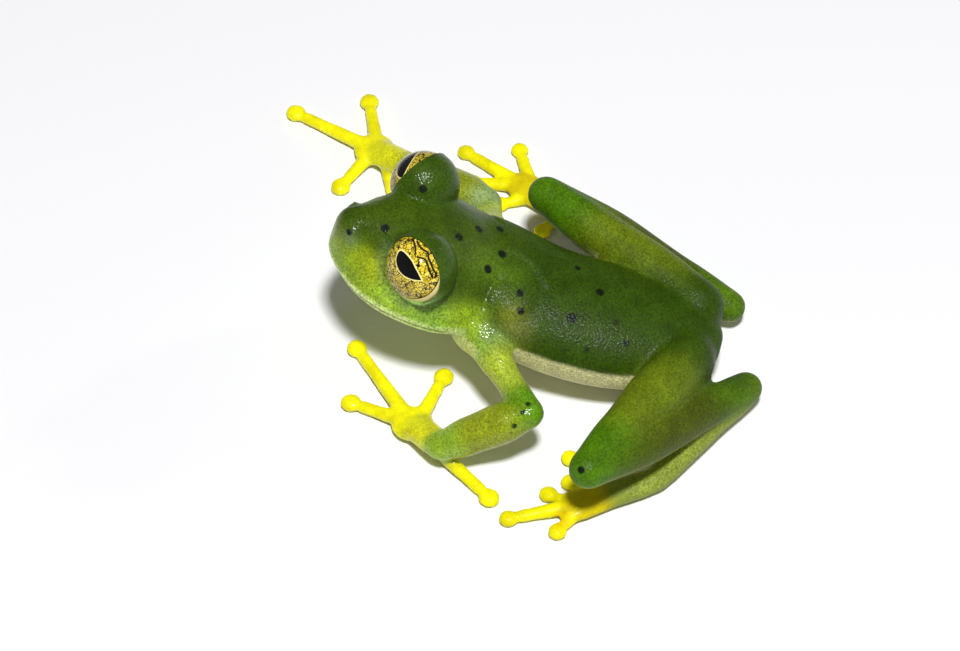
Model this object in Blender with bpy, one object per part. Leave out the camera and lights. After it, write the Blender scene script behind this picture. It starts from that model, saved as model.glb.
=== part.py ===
"""Glass frog, life size: a still model of one adult, at rest on all fours.

The frog faces -Y, its left side is at +X and it sits on the plane Z = 0. Head, lower
jaw, eyes, torso and every part of the limbs are separate closed solids, parted by thin
gaps where flesh meets flesh. The origin is the centre of the underside of the whole.
"""

import math

import bmesh
import bpy
from mathutils import Matrix, Vector

# Shapes are worked out in millimetres, and the finished meshes are scaled to metres.
MM = 0.001
GAP = 0.3
WELD = 0.002
UP = Vector((0.0, 0.0, 1.0))
FORWARD = Vector((0.0, -1.0, 0.0))
LEFT = Vector((1.0, 0.0, 0.0))

# The head: its centre lies midway between the eyes. In the head's own frame a place is
# (forward, left, up).
HEAD_CENTRE = Vector((0.7, -8.3, 10.0))
HEAD_YAW = 9.2
HEAD_PITCH = 15.0
NECK_AT = -4.5
MOUTH_AT = -3.45

# Cross-sections of the head from the neck to the tip of the snout. Each row is the
# place forward, the height of the crown, half width and height at the canthus (the
# ridge from eye to nostril), at the upper lip and at the edge of the jaw, and the
# height of the throat.
HEAD_SECTIONS = (
    (-6.6, -0.8, 2.3, -1.7, 3.50, -3.4, 2.8, -4.5, -5.6),
    (-5.5, -0.6, 2.55, -1.5, 3.90, -3.3, 3.1, -4.4, -5.4),
    (-4.5, -0.3, 2.75, -1.2, 4.35, -3.25, 3.4, -4.3, -5.2),
    (-3.3, 0.1, 2.92, -0.75, 4.80, -3.2, 3.75, -4.2, -4.9),
    (-2.0, 0.45, 3.06, -0.3, 4.96, -3.2, 3.9, -4.1, -4.7),
    (-0.8, 0.7, 3.1, 0.0, 4.87, -3.2, 3.85, -4.05, -4.6),
    (0.4, 0.85, 3.0, 0.1, 4.60, -3.2, 3.6, -4.0, -4.5),
    (1.6, 0.75, 2.5, 0.0, 4.17, -3.2, 3.2, -3.95, -4.4),
    (2.7, 0.5, 1.75, -0.2, 3.50, -3.15, 2.65, -3.9, -4.3),
    (3.6, 0.2, 1.2, -0.4, 2.70, -3.1, 2.0, -3.8, -4.15),
    (4.25, -0.1, 0.95, -0.55, 1.80, -3.0, 1.3, -3.65, -3.9),
    (4.7, -0.45, 0.7, -0.8, 1.00, -2.85, 0.7, -3.35, -3.55),
    (4.95, -1.0, 0.35, -1.2, 0.40, -2.5, 0.3, -2.85, -3.0),
)

# Steps round half a section: crown to canthus, to lip, to jaw and to throat.
HEAD_STEPS = (4, 5, 2, 3)

# Eyes: a thick lens whose outer face is the round of the eyeball.
EYE_APART = 3.25
EYE_RADIUS = 2.04
EYE_BACK_RADIUS = 2.55
EYE_BACK_SHIFT = 1.9
EYE_SIDES = 22
EYE_STEPS = 7
EYE_POLE = 0.04
GAZE_OUTWARD = 40.0
GAZE_UP = 12.0
EYE_DOME_RADIUS = 2.22
LID_RING_RADIUS = 2.14
LID_THICKNESS = 0.24
LID_SHIFT = -0.12

NOSTRIL = (4.05, 1.0, -0.62)
NOSTRIL_SWELL = 0.3
NOSTRIL_RADIUS = 0.13
NOSTRIL_INWARD = (-0.6, -0.65, -0.45)

# Sections of the torso from the neck to the vent: centre, half width, height above and
# depth below the centre.
TORSO_SIDES = 26
BACK_ROUNDNESS = 1.95
BELLY_ROUNDNESS = 2.25
TORSO_SECTIONS = (
    ((0.00, -6.8, 7.25), 3.3, 2.1, 2.45),
    ((0.08, -5.7, 6.80), 3.55, 2.15, 2.5),
    ((0.25, -4.6, 6.25), 3.85, 2.25, 2.55),
    ((0.55, -3.1, 5.45), 4.08, 2.4, 2.75),
    ((0.84, -1.2, 4.70), 4.15, 2.6, 2.95),
    ((0.98, 0.9, 4.15), 4.2, 2.7, 3.0),
    ((0.98, 3.0, 3.75), 4.2, 2.65, 2.85),
    ((0.90, 5.0, 3.45), 3.95, 2.5, 2.65),
    ((0.84, 6.8, 3.20), 3.4, 2.25, 2.3),
    ((0.78, 8.3, 3.00), 2.7, 1.85, 1.85),
    ((0.74, 9.3, 2.85), 1.9, 1.4, 1.3),
    ((0.74, 9.9, 2.75), 0.9, 0.8, 0.7),
)
SHOULDER_BLADE = (1.85, -2.2, 6.88)
SHOULDER_BLADE_SIZE = (1.55, 2.0, 0.58)
SHOULDER_BLADE_SLOPES = (20, 15)
BACKBONE_X = 0.7

# Thickness along each length of limb: share of the way, half width, half height.
UPPER_ARM = ((0.0, 1.6, 1.7), (0.3, 1.08, 1.12), (0.65, 0.82, 0.84), (1.0, 0.94, 0.94))
FOREARM = ((0.0, 1.0, 1.0), (0.3, 1.28, 1.2), (0.7, 1.2, 1.1), (1.0, 0.95, 0.85))
PALM = ((0.0, 0.95, 0.85), (0.45, 0.95, 0.68), (1.0, 1.05, 0.56))
THIGH = ((0.0, 1.6, 1.9), (0.3, 1.75, 1.8), (0.7, 1.45, 1.5), (1.0, 1.2, 1.2))
SHANK = ((0.0, 1.2, 1.2), (0.35, 1.5, 1.4), (0.75, 1.2, 1.15), (1.0, 1.05, 1.0))
TARSUS = ((0.0, 1.05, 1.0), (0.4, 0.85, 0.8), (1.0, 0.8, 0.68))
SOLE = ((0.0, 0.8, 0.68), (0.5, 0.88, 0.58), (1.0, 1.1, 0.5))
DIGIT = ((0.0, 0.52, 0.46), (0.4, 0.4, 0.36), (0.8, 0.31, 0.29))
DISC_RADIUS = 0.64
DISC_HEIGHT = 0.37
TOE_DISC_SHARE = 0.88
PALM_PAD = (1.3, 1.3, 0.5)
SOLE_PAD = (1.1, 1.1, 0.46)
LIMB_SIDES = 14
DIGIT_SIDES = 8
# Angles, in degrees, of the rings that round off a limb's end and a digit's disc, and the
# places of the rings along a digit.
ROUND_END = (30, 58, 80)
ROUND_DISC = (-48, -18, 12, 40, 64, 82)
DIGIT_SHARES = (0.0, 0.25, 0.5, 0.75, 1.0)
DISC_LIFT = 0.3
DISC_SETBACK = 1.25
DISC_FLATNESS = 0.6

# The space kept round the body is no wider than this many gaps at its sharpest edges.
EDGE_GROWTH = 1.5

SKIN_ROUGHNESS = 0.42
EYE_ROUGHNESS = 0.12
SHARP_EDGE = 40

# The pose: where the joints and the middles of the digits' discs are. The digits are in
# order from the thumb or the inner toe outwards. Each has its place on the palm or sole,
# as a share of its length, and the distance from there at which it is free.
ARMS = {
    "left": {
        "shoulder": (3.6, -4.5, 4.9),
        "elbow": (8.95, -0.35, 4.2),
        "wrist": (10.35, -5.3, 1.6),
        "palm": (8.2, -7.5, 0.6),
        "tips": ((4.1, -6.4), (2.9, -12.0), (7.1, -11.5), (12.6, -2.0)),
        "roots": (0.9, 1.0, 1.0, 0.55),
        "free_at": (1.6, 2.0, 1.8, 1.7),
    },
    "right": {
        "shoulder": (-2.8, -4.6, 4.9),
        "elbow": (-7.9, -6.0, 2.9),
        "wrist": (-11.0, -11.2, 1.6),
        "palm": (-13.0, -14.2, 0.6),
        "tips": ((-9.2, -12.2), (-9.8, -15.7), (-15.4, -19.8), (-17.2, -15.4)),
        "roots": (0.7, 1.0, 1.0, 0.9),
        "free_at": (1.7, 1.6, 2.2, 2.1),
    },
}
LEGS = {
    "left": {
        "hip": (2.6, 8.3, 3.5),
        "knee": (13.1, 3.9, 5.1),
        "heel": (2.45, 11.8, 1.5),
        "ankle": (9.8, 7.5, 0.75),
        "foot": (12.4, 3.1, 0.52),
        "tips": ((8.8, 2.2), (10.6, 2.5), (11.7, 1.4), (13.9, -0.6), (14.3, 2.4)),
        "roots": (0.55, 0.8, 1.0, 1.0, 0.85),
        "free_at": (1.5, 1.0, 0.75, 1.3, 1.5),
    },
    "right": {
        "hip": (-1.5, 8.2, 3.5),
        "knee": (-7.35, -2.2, 5.1),
        "heel": (-3.6, 9.9, 1.5),
        "ankle": (-7.8, 2.7, 0.75),
        "foot": (-11.8, -4.4, 0.52),
        "tips": ((-8.5, -2.6), (-10.2, -5.6), (-11.7, -7.6), (-14.1, -8.5), (-14.9, -5.2)),
        "roots": (0.6, 0.85, 1.0, 1.0, 0.9),
        "free_at": (1.5, 1.2, 1.5, 1.8, 1.6),
    },
}

COLOURS = {
    "back": (0.055, 0.16, 0.018, 1.0),
    "jaw": (0.30, 0.47, 0.07, 1.0),
    "limb": (0.13, 0.25, 0.02, 1.0),
    "digit": (0.75, 0.66, 0.01, 1.0),
    "eye": (0.42, 0.29, 0.045, 1.0),
}


def smooth_rows(rows, steps):
    """Rows of numbers on a smooth curve through the given rows, steps from each to the next."""
    padded = [rows[0], *rows, rows[-1]]
    result = []
    for before, start, end, after in zip(padded, padded[1:], padded[2:], padded[3:]):
        for step in range(steps):
            t = step / steps
            result.append([
                0.5 * (2 * b + (c - a) * t + (2 * a - 5 * b + 4 * c - d) * t ** 2
                       + (3 * b - a - 3 * c + d) * t ** 3)
                for a, b, c, d in zip(before, start, end, after)
            ])
    result.append(list(rows[-1]))
    return result


def between(rows, share):
    """The row at a share of the way, from rows whose first number is their share."""
    for low, high in zip(rows, rows[1:]):
        if share <= high[0]:
            t = (share - low[0]) / (high[0] - low[0])
            t = t * t * (3 - 2 * t)
            return [a + (b - a) * t for a, b in zip(low[1:], high[1:])]
    return list(rows[-1][1:])


def skin_rings(rings):
    """A closed mesh through rings of points, each ring extruded from the one before."""
    bm = bmesh.new()
    ring = bmesh.ops.create_circle(bm, cap_ends=True, segments=len(rings[0]), radius=1)["verts"]
    for vert, place in zip(ring, rings[0]):
        vert.co = place
    edges = bm.edges[:]
    for places in rings[1:]:
        made = bmesh.ops.extrude_edge_only(bm, edges=edges)["geom"]
        fresh = {v for v in made if isinstance(v, bmesh.types.BMVert)}
        edges = [e for e in made if isinstance(e, bmesh.types.BMEdge)
                 and e.verts[0] in fresh and e.verts[1] in fresh]
        ring = [next(e.other_vert(v) for e in v.link_edges if e.other_vert(v) in fresh)
                for v in ring]
        for vert, place in zip(ring, places):
            vert.co = place
    bmesh.ops.contextual_create(bm, geom=edges)
    bmesh.ops.recalc_face_normals(bm, faces=bm.faces)
    return bm


def head_matrix():
    """The head's frame: columns forward, left and up, at the head's centre."""
    turn = Matrix.Rotation(math.radians(HEAD_YAW), 3, "Z")
    turn = turn @ Matrix.Rotation(-math.radians(HEAD_PITCH), 3, "X")
    frame = Matrix((turn @ FORWARD, turn @ LEFT, turn @ UP)).transposed().to_4x4()
    frame.translation = HEAD_CENTRE
    return frame


HEAD = head_matrix()


def head_loft():
    """The whole head without its eyes, from the neck to the snout."""
    rings = []
    for forward, crown, canthus, canthus_up, lip, lip_up, jaw, jaw_up, throat in HEAD_SECTIONS:
        side = ((0.0, crown), (canthus, canthus_up), (lip, lip_up), (jaw, jaw_up), (0.0, throat))
        outline = [*side, *((-left, up) for left, up in reversed(side[1:-1])), side[0]]
        padded = [outline[-2], *outline, outline[1]]
        ring = []
        for index, count in enumerate(HEAD_STEPS + HEAD_STEPS[::-1]):
            stretch = smooth_rows(padded[index:index + 4], count)[count:2 * count]
            ring += [HEAD @ Vector((forward, left, up)) for left, up in stretch]
        rings.append(ring)
    return skin_rings(rings)


def gaze(side):
    """Direction in which an eye looks. Side is 1 for the left and -1 for the right."""
    out, up = math.radians(GAZE_OUTWARD), math.radians(GAZE_UP)
    local = Vector((math.cos(up) * math.cos(out), side * math.cos(up) * math.sin(out), math.sin(up)))
    return (HEAD.to_3x3() @ local).normalized()


def eye_matrix(side):
    """Frame of an eye: its Z axis is the gaze, and its origin the eyeball's centre."""
    frame = gaze(side).to_track_quat("Z", "Y").to_matrix().to_4x4()
    frame.translation = HEAD @ Vector((0.0, side * EYE_APART, 0.0))
    return frame


def turned(profile, sides, frame):
    """A closed solid turned about the Z axis from a profile of (radius, height) points."""
    rings = []
    for radius, height in profile:
        rings.append([
            frame @ Vector((radius * math.cos(a), radius * math.sin(a), height))
            for a in (2 * math.pi * i / sides for i in range(sides))
        ])
    return skin_rings(rings)


def eye_lens(side, grow):
    """The lens of the eye, or the space that it needs in the head when grown."""
    outer = EYE_RADIUS + grow
    back = EYE_BACK_RADIUS + grow
    rim_up = (outer ** 2 - back ** 2 + EYE_BACK_SHIFT ** 2) / (2 * EYE_BACK_SHIFT)
    outer_angle = math.acos(rim_up / outer)
    back_angle = math.acos((EYE_BACK_SHIFT - rim_up) / back)
    profile = []
    for i in range(EYE_STEPS):
        angle = EYE_POLE + (outer_angle - EYE_POLE) * i / (EYE_STEPS - 1)
        profile.append((outer * math.sin(angle), outer * math.cos(angle)))
    for i in range(1, EYE_STEPS):
        angle = back_angle + (EYE_POLE - back_angle) * i / (EYE_STEPS - 1)
        profile.append((back * math.sin(angle), EYE_BACK_SHIFT - back * math.cos(angle)))
    return turned(profile, EYE_SIDES, eye_matrix(side))


def eye_dome(side):
    """The round swelling of skin over an eyeball."""
    bm = bmesh.new()
    bmesh.ops.create_uvsphere(bm, u_segments=EYE_SIDES, v_segments=12, radius=EYE_DOME_RADIUS,
                              matrix=eye_matrix(side))
    return bm


def lid_ring(side):
    """The thickened edge of the lids all round an eye."""
    bm = bmesh.new()
    bmesh.ops.create_circle(bm, segments=8, radius=LID_THICKNESS,
                            matrix=Matrix.Translation((LID_RING_RADIUS, 0.0, LID_SHIFT))
                            @ Matrix.Rotation(math.pi / 2, 4, "X"))
    bmesh.ops.spin(bm, geom=bm.verts[:] + bm.edges[:], cent=(0, 0, 0), axis=(0, 0, 1),
                   angle=2 * math.pi, steps=EYE_SIDES, use_merge=True)
    bmesh.ops.remove_doubles(bm, verts=bm.verts, dist=WELD)
    bmesh.ops.recalc_face_normals(bm, faces=bm.faces)
    bm.transform(eye_matrix(side))
    return bm


def ball(centre, radius, segments=12):
    """A sphere, or an ellipsoid where the radius is three half sizes."""
    bm = bmesh.new()
    bmesh.ops.create_uvsphere(bm, u_segments=segments, v_segments=segments // 2 + 1, radius=1)
    sizes = radius if isinstance(radius, tuple) else (radius,) * 3
    bmesh.ops.scale(bm, vec=sizes, verts=bm.verts)
    bmesh.ops.translate(bm, vec=centre, verts=bm.verts)
    return bm


def nostril_pit(side):
    """A short pin that leaves the hole of a nostril, which opens forward and outward."""
    forward, left, up = NOSTRIL
    x, y, z = NOSTRIL_INWARD
    inward = (HEAD.to_3x3() @ Vector((x, side * y, z))).normalized()
    frame = inward.to_track_quat("Z", "Y").to_matrix().to_4x4()
    frame.translation = HEAD @ Vector((forward, side * left, up)) - inward * NOSTRIL_SWELL
    profile = ((NOSTRIL_RADIUS * 1.3, -0.5), (NOSTRIL_RADIUS * 1.2, 0.0), (NOSTRIL_RADIUS, 0.5))
    return turned(profile, 8, frame)


def torso_loft():
    """The trunk, arched along its own centre line."""
    keys = [(*centre, width, above, below) for centre, width, above, below in TORSO_SECTIONS]
    rings = []
    for index, (x, y, z, width, above, below) in enumerate(keys):
        ahead = keys[min(index + 1, len(keys) - 1)]
        behind = keys[max(index - 1, 0)]
        along = (Vector(ahead[:3]) - Vector(behind[:3])).normalized()
        across = along.cross(UP).normalized()
        rise = across.cross(along)
        ring = []
        for i in range(TORSO_SIDES):
            angle = 2 * math.pi * i / TORSO_SIDES
            sine, cosine = math.sin(angle), math.cos(angle)
            height, power = (above, BACK_ROUNDNESS) if cosine > 0 else (below, BELLY_ROUNDNESS)
            squared = (abs(sine) ** power + abs(cosine) ** power) ** (-1 / power)
            ring.append(Vector((x, y, z)) + across * sine * squared * width
                        + rise * cosine * squared * height)
        rings.append(ring)
    return skin_rings(rings)


def oval_rings(rows, across, rise, sides):
    """Rings of points round a line of (place, half width, half height) rows."""
    turns = [2 * math.pi * i / sides for i in range(sides)]
    return [[place + across * math.sin(a) * width + rise * math.cos(a) * height for a in turns]
            for place, width, height in rows]


def limb(start, end, sizes, steps=7):
    """A length of limb between two joints, round at its ends.

    Sizes are rows of share of the way, half width and half height.
    """
    start, end = Vector(start), Vector(end)
    along = (end - start).normalized()
    across = along.cross(UP).normalized()
    rise = across.cross(along)
    shares = [i / steps for i in range(steps + 1)]
    rows = [(start.lerp(end, share), *between(sizes, share)) for share in shares]
    for at_end in (False, True):
        place, width, height = rows[-1] if at_end else rows[0]
        outward = along if at_end else -along
        for angle in ROUND_END:
            c, s = math.cos(math.radians(angle)), math.sin(math.radians(angle))
            row = (place + outward * s * min(width, height), width * c, height * c)
            rows.insert(len(rows) if at_end else 0, row)
    return skin_rings(oval_rings(rows, across, rise, LIMB_SIDES))


def digit(start, tip, disc_share=1.0):
    """A finger or toe along the floor, from inside the palm to its round, flat disc."""
    start = Vector(start)
    tip = Vector((tip[0], tip[1], DISC_LIFT))
    length = (tip - start).length
    disc = DISC_RADIUS * disc_share
    neck = length - disc * DISC_SETBACK
    along = (tip - start).normalized()
    across = along.cross(UP).normalized()
    rise = across.cross(along)
    rows = [(start + along * share * neck, *between(DIGIT, share)) for share in DIGIT_SHARES]
    for angle in ROUND_DISC:
        c, s = math.cos(math.radians(angle)), math.sin(math.radians(angle))
        rows.append((start + along * (length + s * disc), disc * c, DISC_HEIGHT * c ** DISC_FLATNESS))
    return skin_rings(oval_rings(rows, across, rise, DIGIT_SIDES))


def part_of(bm, point, normal, keep_front):
    """What is left of a closed mesh on one side of a plane, its cut closed flat."""
    normal = Vector(normal).normalized()
    bmesh.ops.bisect_plane(bm, geom=bm.verts[:] + bm.edges[:] + bm.faces[:], dist=WELD / 10,
                           plane_co=point, plane_no=normal,
                           clear_inner=keep_front, clear_outer=not keep_front)
    rim = [e for e in bm.edges if e.is_boundary]
    bmesh.ops.holes_fill(bm, edges=rim, sides=0)
    bmesh.ops.triangulate(bm, faces=bm.faces[:])
    bmesh.ops.remove_doubles(bm, verts=bm.verts, dist=WELD)
    bmesh.ops.dissolve_degenerate(bm, edges=bm.edges, dist=WELD)
    return bm


def parted(bm, joint, root, tip, keep_root):
    """One side of a joint, cut halfway between its two bones with half the gap kept."""
    joint, root, tip = Vector(joint), Vector(root), Vector(tip)
    normal = ((root - joint).normalized() - (tip - joint).normalized()).normalized()
    if not keep_root:
        normal.negate()
    return part_of(bm, joint + normal * GAP / 2, normal, True)


def grown(bm, amount=GAP):
    """A copy of a mesh with its surface moved outward."""
    copy = bm.copy()
    copy.normal_update()
    moves = [(v, v.normal * amount * min(v.calc_shell_factor(), EDGE_GROWTH)) for v in copy.verts]
    for vert, move in moves:
        vert.co += move
    return copy


def place_in_scene(bm, name):
    """A new object with the mesh, linked to the scene."""
    mesh = bpy.data.meshes.new(name)
    bm.to_mesh(mesh)
    made = bpy.data.objects.new(name, mesh)
    bpy.context.scene.collection.objects.link(made)
    return made


def combined(bm, others, operation):
    """A mesh joined with others, or cut by them, as one clean closed body."""
    base = place_in_scene(bm, "base")
    group = bpy.data.collections.new("tools")
    for other in others:
        mesh = bpy.data.meshes.new("tool")
        other.to_mesh(mesh)
        group.objects.link(bpy.data.objects.new("tool", mesh))
    bpy.context.scene.collection.children.link(group)
    change = base.modifiers.new("combine", "BOOLEAN")
    change.operation = operation
    change.operand_type = "COLLECTION"
    change.collection = group
    change.solver = "EXACT"
    evaluated = base.evaluated_get(bpy.context.evaluated_depsgraph_get())
    result = bmesh.new()
    result.from_mesh(evaluated.to_mesh())
    for used in [*group.objects, base]:
        bpy.data.objects.remove(used)
    bpy.data.collections.remove(group)
    return largest_body(result)


def largest_body(bm):
    """The mesh with only its largest closed surface left, triangulated and welded."""
    bmesh.ops.triangulate(bm, faces=bm.faces[:])
    bmesh.ops.remove_doubles(bm, verts=bm.verts, dist=WELD)
    bmesh.ops.dissolve_degenerate(bm, edges=bm.edges, dist=WELD)
    bmesh.ops.triangulate(bm, faces=bm.faces[:])
    bodies = []
    left = set(bm.faces)
    while left:
        stack = [left.pop()]
        body = []
        while stack:
            face = stack.pop()
            body.append(face)
            for edge in face.edges:
                for other in edge.link_faces:
                    if other in left:
                        left.remove(other)
                        stack.append(other)
        volume = sum(f.verts[0].co.dot(f.verts[1].co.cross(f.verts[2].co)) / 6 for f in body)
        bodies.append((abs(volume), body))
    bodies.sort(key=lambda entry: entry[0])
    for _, body in bodies[:-1]:
        bmesh.ops.delete(bm, geom=body, context="FACES")
    return bm


def on_floor(bm):
    """The mesh with whatever dips below the floor pressed flat on it."""
    bmesh.ops.triangulate(bm, faces=bm.faces[:])
    for vert in bm.verts:
        vert.co.z = max(vert.co.z, 0.0)
    bmesh.ops.remove_doubles(bm, verts=bm.verts, dist=WELD)
    bmesh.ops.dissolve_degenerate(bm, edges=bm.edges, dist=WELD)
    bmesh.ops.triangulate(bm, faces=bm.faces[:])
    return bm


def material(name, colour, roughness):
    """A plain finish."""
    made = bpy.data.materials.new(name)
    made.use_nodes = True
    shader = made.node_tree.nodes["Principled BSDF"]
    shader.inputs["Base Color"].default_value = colour
    shader.inputs["Roughness"].default_value = roughness
    shader.inputs["Metallic"].default_value = 0.0
    return made


def head_parts():
    """Meshes of the head, the lower jaw and the eyes, by name."""
    whole = head_loft()
    mouth_up = HEAD.to_3x3() @ UP
    forward = HEAD.to_3x3() @ Vector((1.0, 0.0, 0.0))
    whole = part_of(whole, HEAD @ Vector((NECK_AT, 0.0, 0.0)), forward, True)
    jaw = part_of(whole.copy(), HEAD @ Vector((0, 0, MOUTH_AT - GAP / 2)), mouth_up, False)
    head = part_of(whole.copy(), HEAD @ Vector((0, 0, MOUTH_AT + GAP / 2)), mouth_up, True)
    swellings = []
    hollows = []
    eyes = {}
    for name, side in (("left", 1), ("right", -1)):
        swellings += [eye_dome(side), lid_ring(side)]
        forward_at, left, up = NOSTRIL
        centre = HEAD @ Vector((forward_at, side * left, up))
        swellings.append(ball(centre, NOSTRIL_SWELL, 10))
        hollows += [eye_lens(side, GAP), nostril_pit(side)]
        eyes[name + "_eye"] = eye_lens(side, 0.0)
    head = combined(head, swellings, "UNION")
    head = combined(head, hollows, "DIFFERENCE")
    return {"head": head, "lower_jaw": jaw, **eyes}, whole


def torso_part():
    """The torso with its shoulder blades, cut flat at the neck."""
    x, y, z = SHOULDER_BLADE
    slope_out, slope_back = (math.radians(angle) for angle in SHOULDER_BLADE_SLOPES)
    blades = []
    for side in (1, -1):
        blade = ball(Vector(), SHOULDER_BLADE_SIZE, 14)
        blade.transform(Matrix.Translation((BACKBONE_X + side * x, y, z))
                        @ Matrix.Rotation(side * slope_out, 4, "Y")
                        @ Matrix.Rotation(-slope_back, 4, "X"))
        blades.append(blade)
    torso = combined(torso_loft(), blades, "UNION")
    forward = HEAD.to_3x3() @ Vector((1.0, 0.0, 0.0))
    return part_of(torso, HEAD @ Vector((NECK_AT - GAP, 0.0, 0.0)), forward, False)


def extremity(core, start, end, pose, pad, disc_share):
    """A palm or sole with its pad and the roots of its digits, and the free digits."""
    start, end = Vector(start), Vector(end)
    roots = [ball(end, pad)]
    free = []
    for tip, share, reach in zip(pose["tips"], pose["roots"], pose["free_at"]):
        base = start.lerp(end, share)
        base.z = end.z
        whole = digit(base, tip, disc_share)
        along = Vector((tip[0], tip[1], base.z)) - base
        along.normalize()
        at = base + along * reach
        roots.append(part_of(whole.copy(), at, along, False))
        free.append(part_of(whole, at + along * GAP, along, True))
    return combined(core, roots, "UNION"), free


def arm_parts(side, pose, body):
    """Meshes of one arm, its hand and its fingers, by name."""
    shoulder, elbow, wrist, palm = (pose[k] for k in ("shoulder", "elbow", "wrist", "palm"))
    upper = limb(shoulder, elbow, UPPER_ARM)
    upper = parted(upper, elbow, shoulder, wrist, True)
    upper = combined(upper, body, "DIFFERENCE")
    fore = parted(limb(elbow, wrist, FOREARM), elbow, shoulder, wrist, False)
    fore = parted(fore, wrist, elbow, palm, True)
    core = parted(limb(wrist, palm, PALM, steps=4), wrist, elbow, palm, False)
    hand, fingers = extremity(core, wrist, palm, pose, PALM_PAD, 1.0)
    parts = {side + "_upper_arm": upper, side + "_forearm": fore, side + "_hand": hand}
    for number, finger in enumerate(fingers, 1):
        parts[f"{side}_finger_{number}"] = finger
    return parts


def leg_parts(side, pose, body):
    """Meshes of one hind leg, its foot and its toes, by name."""
    hip, knee, heel, ankle, foot = (pose[k] for k in ("hip", "knee", "heel", "ankle", "foot"))
    thigh = parted(limb(hip, knee, THIGH), knee, hip, heel, True)
    thigh = combined(thigh, body, "DIFFERENCE")
    shank = parted(limb(knee, heel, SHANK), knee, hip, heel, False)
    shank = parted(shank, heel, knee, ankle, True)
    tarsus = parted(limb(heel, ankle, TARSUS), heel, knee, ankle, False)
    tarsus = parted(tarsus, ankle, heel, foot, True)
    core = parted(limb(ankle, foot, SOLE, steps=4), ankle, heel, foot, False)
    sole, toes = extremity(core, ankle, foot, pose, SOLE_PAD, TOE_DISC_SHARE)
    parts = {side + "_thigh": thigh, side + "_shank": shank,
             side + "_tarsus": tarsus, side + "_foot": sole}
    for number, toe in enumerate(toes, 1):
        parts[f"{side}_toe_{number}"] = toe
    return parts


def finish_of(name):
    """The finish that a part has, from its name."""
    if name.endswith("_eye"):
        return "eye"
    if name == "lower_jaw":
        return "jaw"
    if name in ("head", "torso"):
        return "back"
    if any(word in name for word in ("finger", "toe", "hand", "foot")):
        return "digit"
    return "limb"


def main():
    """Build every part and set the whole with its underside centred on the origin."""
    for old in list(bpy.data.objects):
        bpy.data.objects.remove(old)
    parts, whole_head = head_parts()
    parts["torso"] = torso_part()
    body = [grown(parts["torso"]), grown(whole_head)]
    for side in ("left", "right"):
        parts.update(arm_parts(side, ARMS[side], body))
        parts.update(leg_parts(side, LEGS[side], body))
    for bm in parts.values():
        on_floor(bm)
    points = [v.co for bm in parts.values() for v in bm.verts]
    lows = [min(p[axis] for p in points) for axis in range(3)]
    highs = [max(p[axis] for p in points) for axis in range(3)]
    shift = Vector((-(lows[0] + highs[0]) / 2, -(lows[1] + highs[1]) / 2, -lows[2]))
    for name, bm in parts.items():
        bmesh.ops.translate(bm, vec=shift, verts=bm.verts)
        bmesh.ops.scale(bm, vec=(MM,) * 3, verts=bm.verts)
        made = place_in_scene(bm, name)
        kind = finish_of(name)
        roughness = EYE_ROUGHNESS if kind == "eye" else SKIN_ROUGHNESS
        made.data.materials.append(material(f"{name} finish", COLOURS[kind], roughness))
        made.data.shade_smooth()
        made.data.set_sharp_from_angle(angle=math.radians(SHARP_EDGE))


main()
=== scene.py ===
"""Glass frog, life size: its skin, its eyes and a plain studio.

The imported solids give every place. The frog faces -Y, its left side is at +X and it sits
on the plane Z = 0. Shapes are worked out in millimetres in the frog's own design frame,
and one shift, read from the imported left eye, carries them to the frame of the solids.
"""

import logging
import math
from dataclasses import dataclass, field
from enum import Enum

import bmesh
import bpy
import numpy as np
from mathutils import Matrix, Vector
from mathutils.bvhtree import BVHTree


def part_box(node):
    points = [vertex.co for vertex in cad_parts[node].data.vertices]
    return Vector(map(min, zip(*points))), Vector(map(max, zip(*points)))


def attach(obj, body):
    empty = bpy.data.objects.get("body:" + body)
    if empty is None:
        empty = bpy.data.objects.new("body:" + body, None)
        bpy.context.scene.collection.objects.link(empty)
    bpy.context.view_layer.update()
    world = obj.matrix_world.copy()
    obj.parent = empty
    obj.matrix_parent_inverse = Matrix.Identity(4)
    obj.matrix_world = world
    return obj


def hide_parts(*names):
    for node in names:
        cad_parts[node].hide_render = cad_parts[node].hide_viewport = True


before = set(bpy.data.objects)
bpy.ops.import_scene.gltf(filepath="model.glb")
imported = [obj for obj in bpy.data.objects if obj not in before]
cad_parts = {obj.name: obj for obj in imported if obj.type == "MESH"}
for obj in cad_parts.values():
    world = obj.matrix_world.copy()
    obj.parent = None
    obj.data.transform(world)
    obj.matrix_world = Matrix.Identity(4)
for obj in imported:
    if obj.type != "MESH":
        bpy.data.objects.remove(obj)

LOG = logging.getLogger("glass_frog")
MM = 0.001
WELD = 0.002
UP = Vector((0.0, 0.0, 1.0))
FORWARD = Vector((0.0, -1.0, 0.0))
LEFTWARD = Vector((1.0, 0.0, 0.0))

Row = tuple[float, ...]
Place = tuple[float, float, float]
Pixel = tuple[float, float]
Array = np.ndarray
Socket = bpy.types.NodeSocket


class Side(Enum):
    """A side of the frog. The value is the sign of its places across the body."""

    LEFT = 1
    RIGHT = -1

    @property
    def word(self) -> str:
        """The side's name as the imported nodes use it."""
        return self.name.lower()


class Slot(Enum):
    """Material slots of the record."""

    GREEN = "green_skin"
    EYE = "eye"


def linear(code: str) -> tuple[float, float, float, float]:
    """A colour for Blender from its sRGB hex code.

    Args:
        code: six hex digits after a hash sign.

    Returns:
        Linear red, green and blue, and an alpha of one.
    """
    values = [int(code[i:i + 2], 16) / 255 for i in (1, 3, 5)]
    red, green, blue = (v / 12.92 if v <= 0.04045 else ((v + 0.055) / 1.055) ** 2.4 for v in values)
    return red, green, blue, 1.0


def per_metre(size_mm: float) -> float:
    """Texture scale at which one cell or wave measures the given millimetres."""
    return 1000.0 / size_mm


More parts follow.
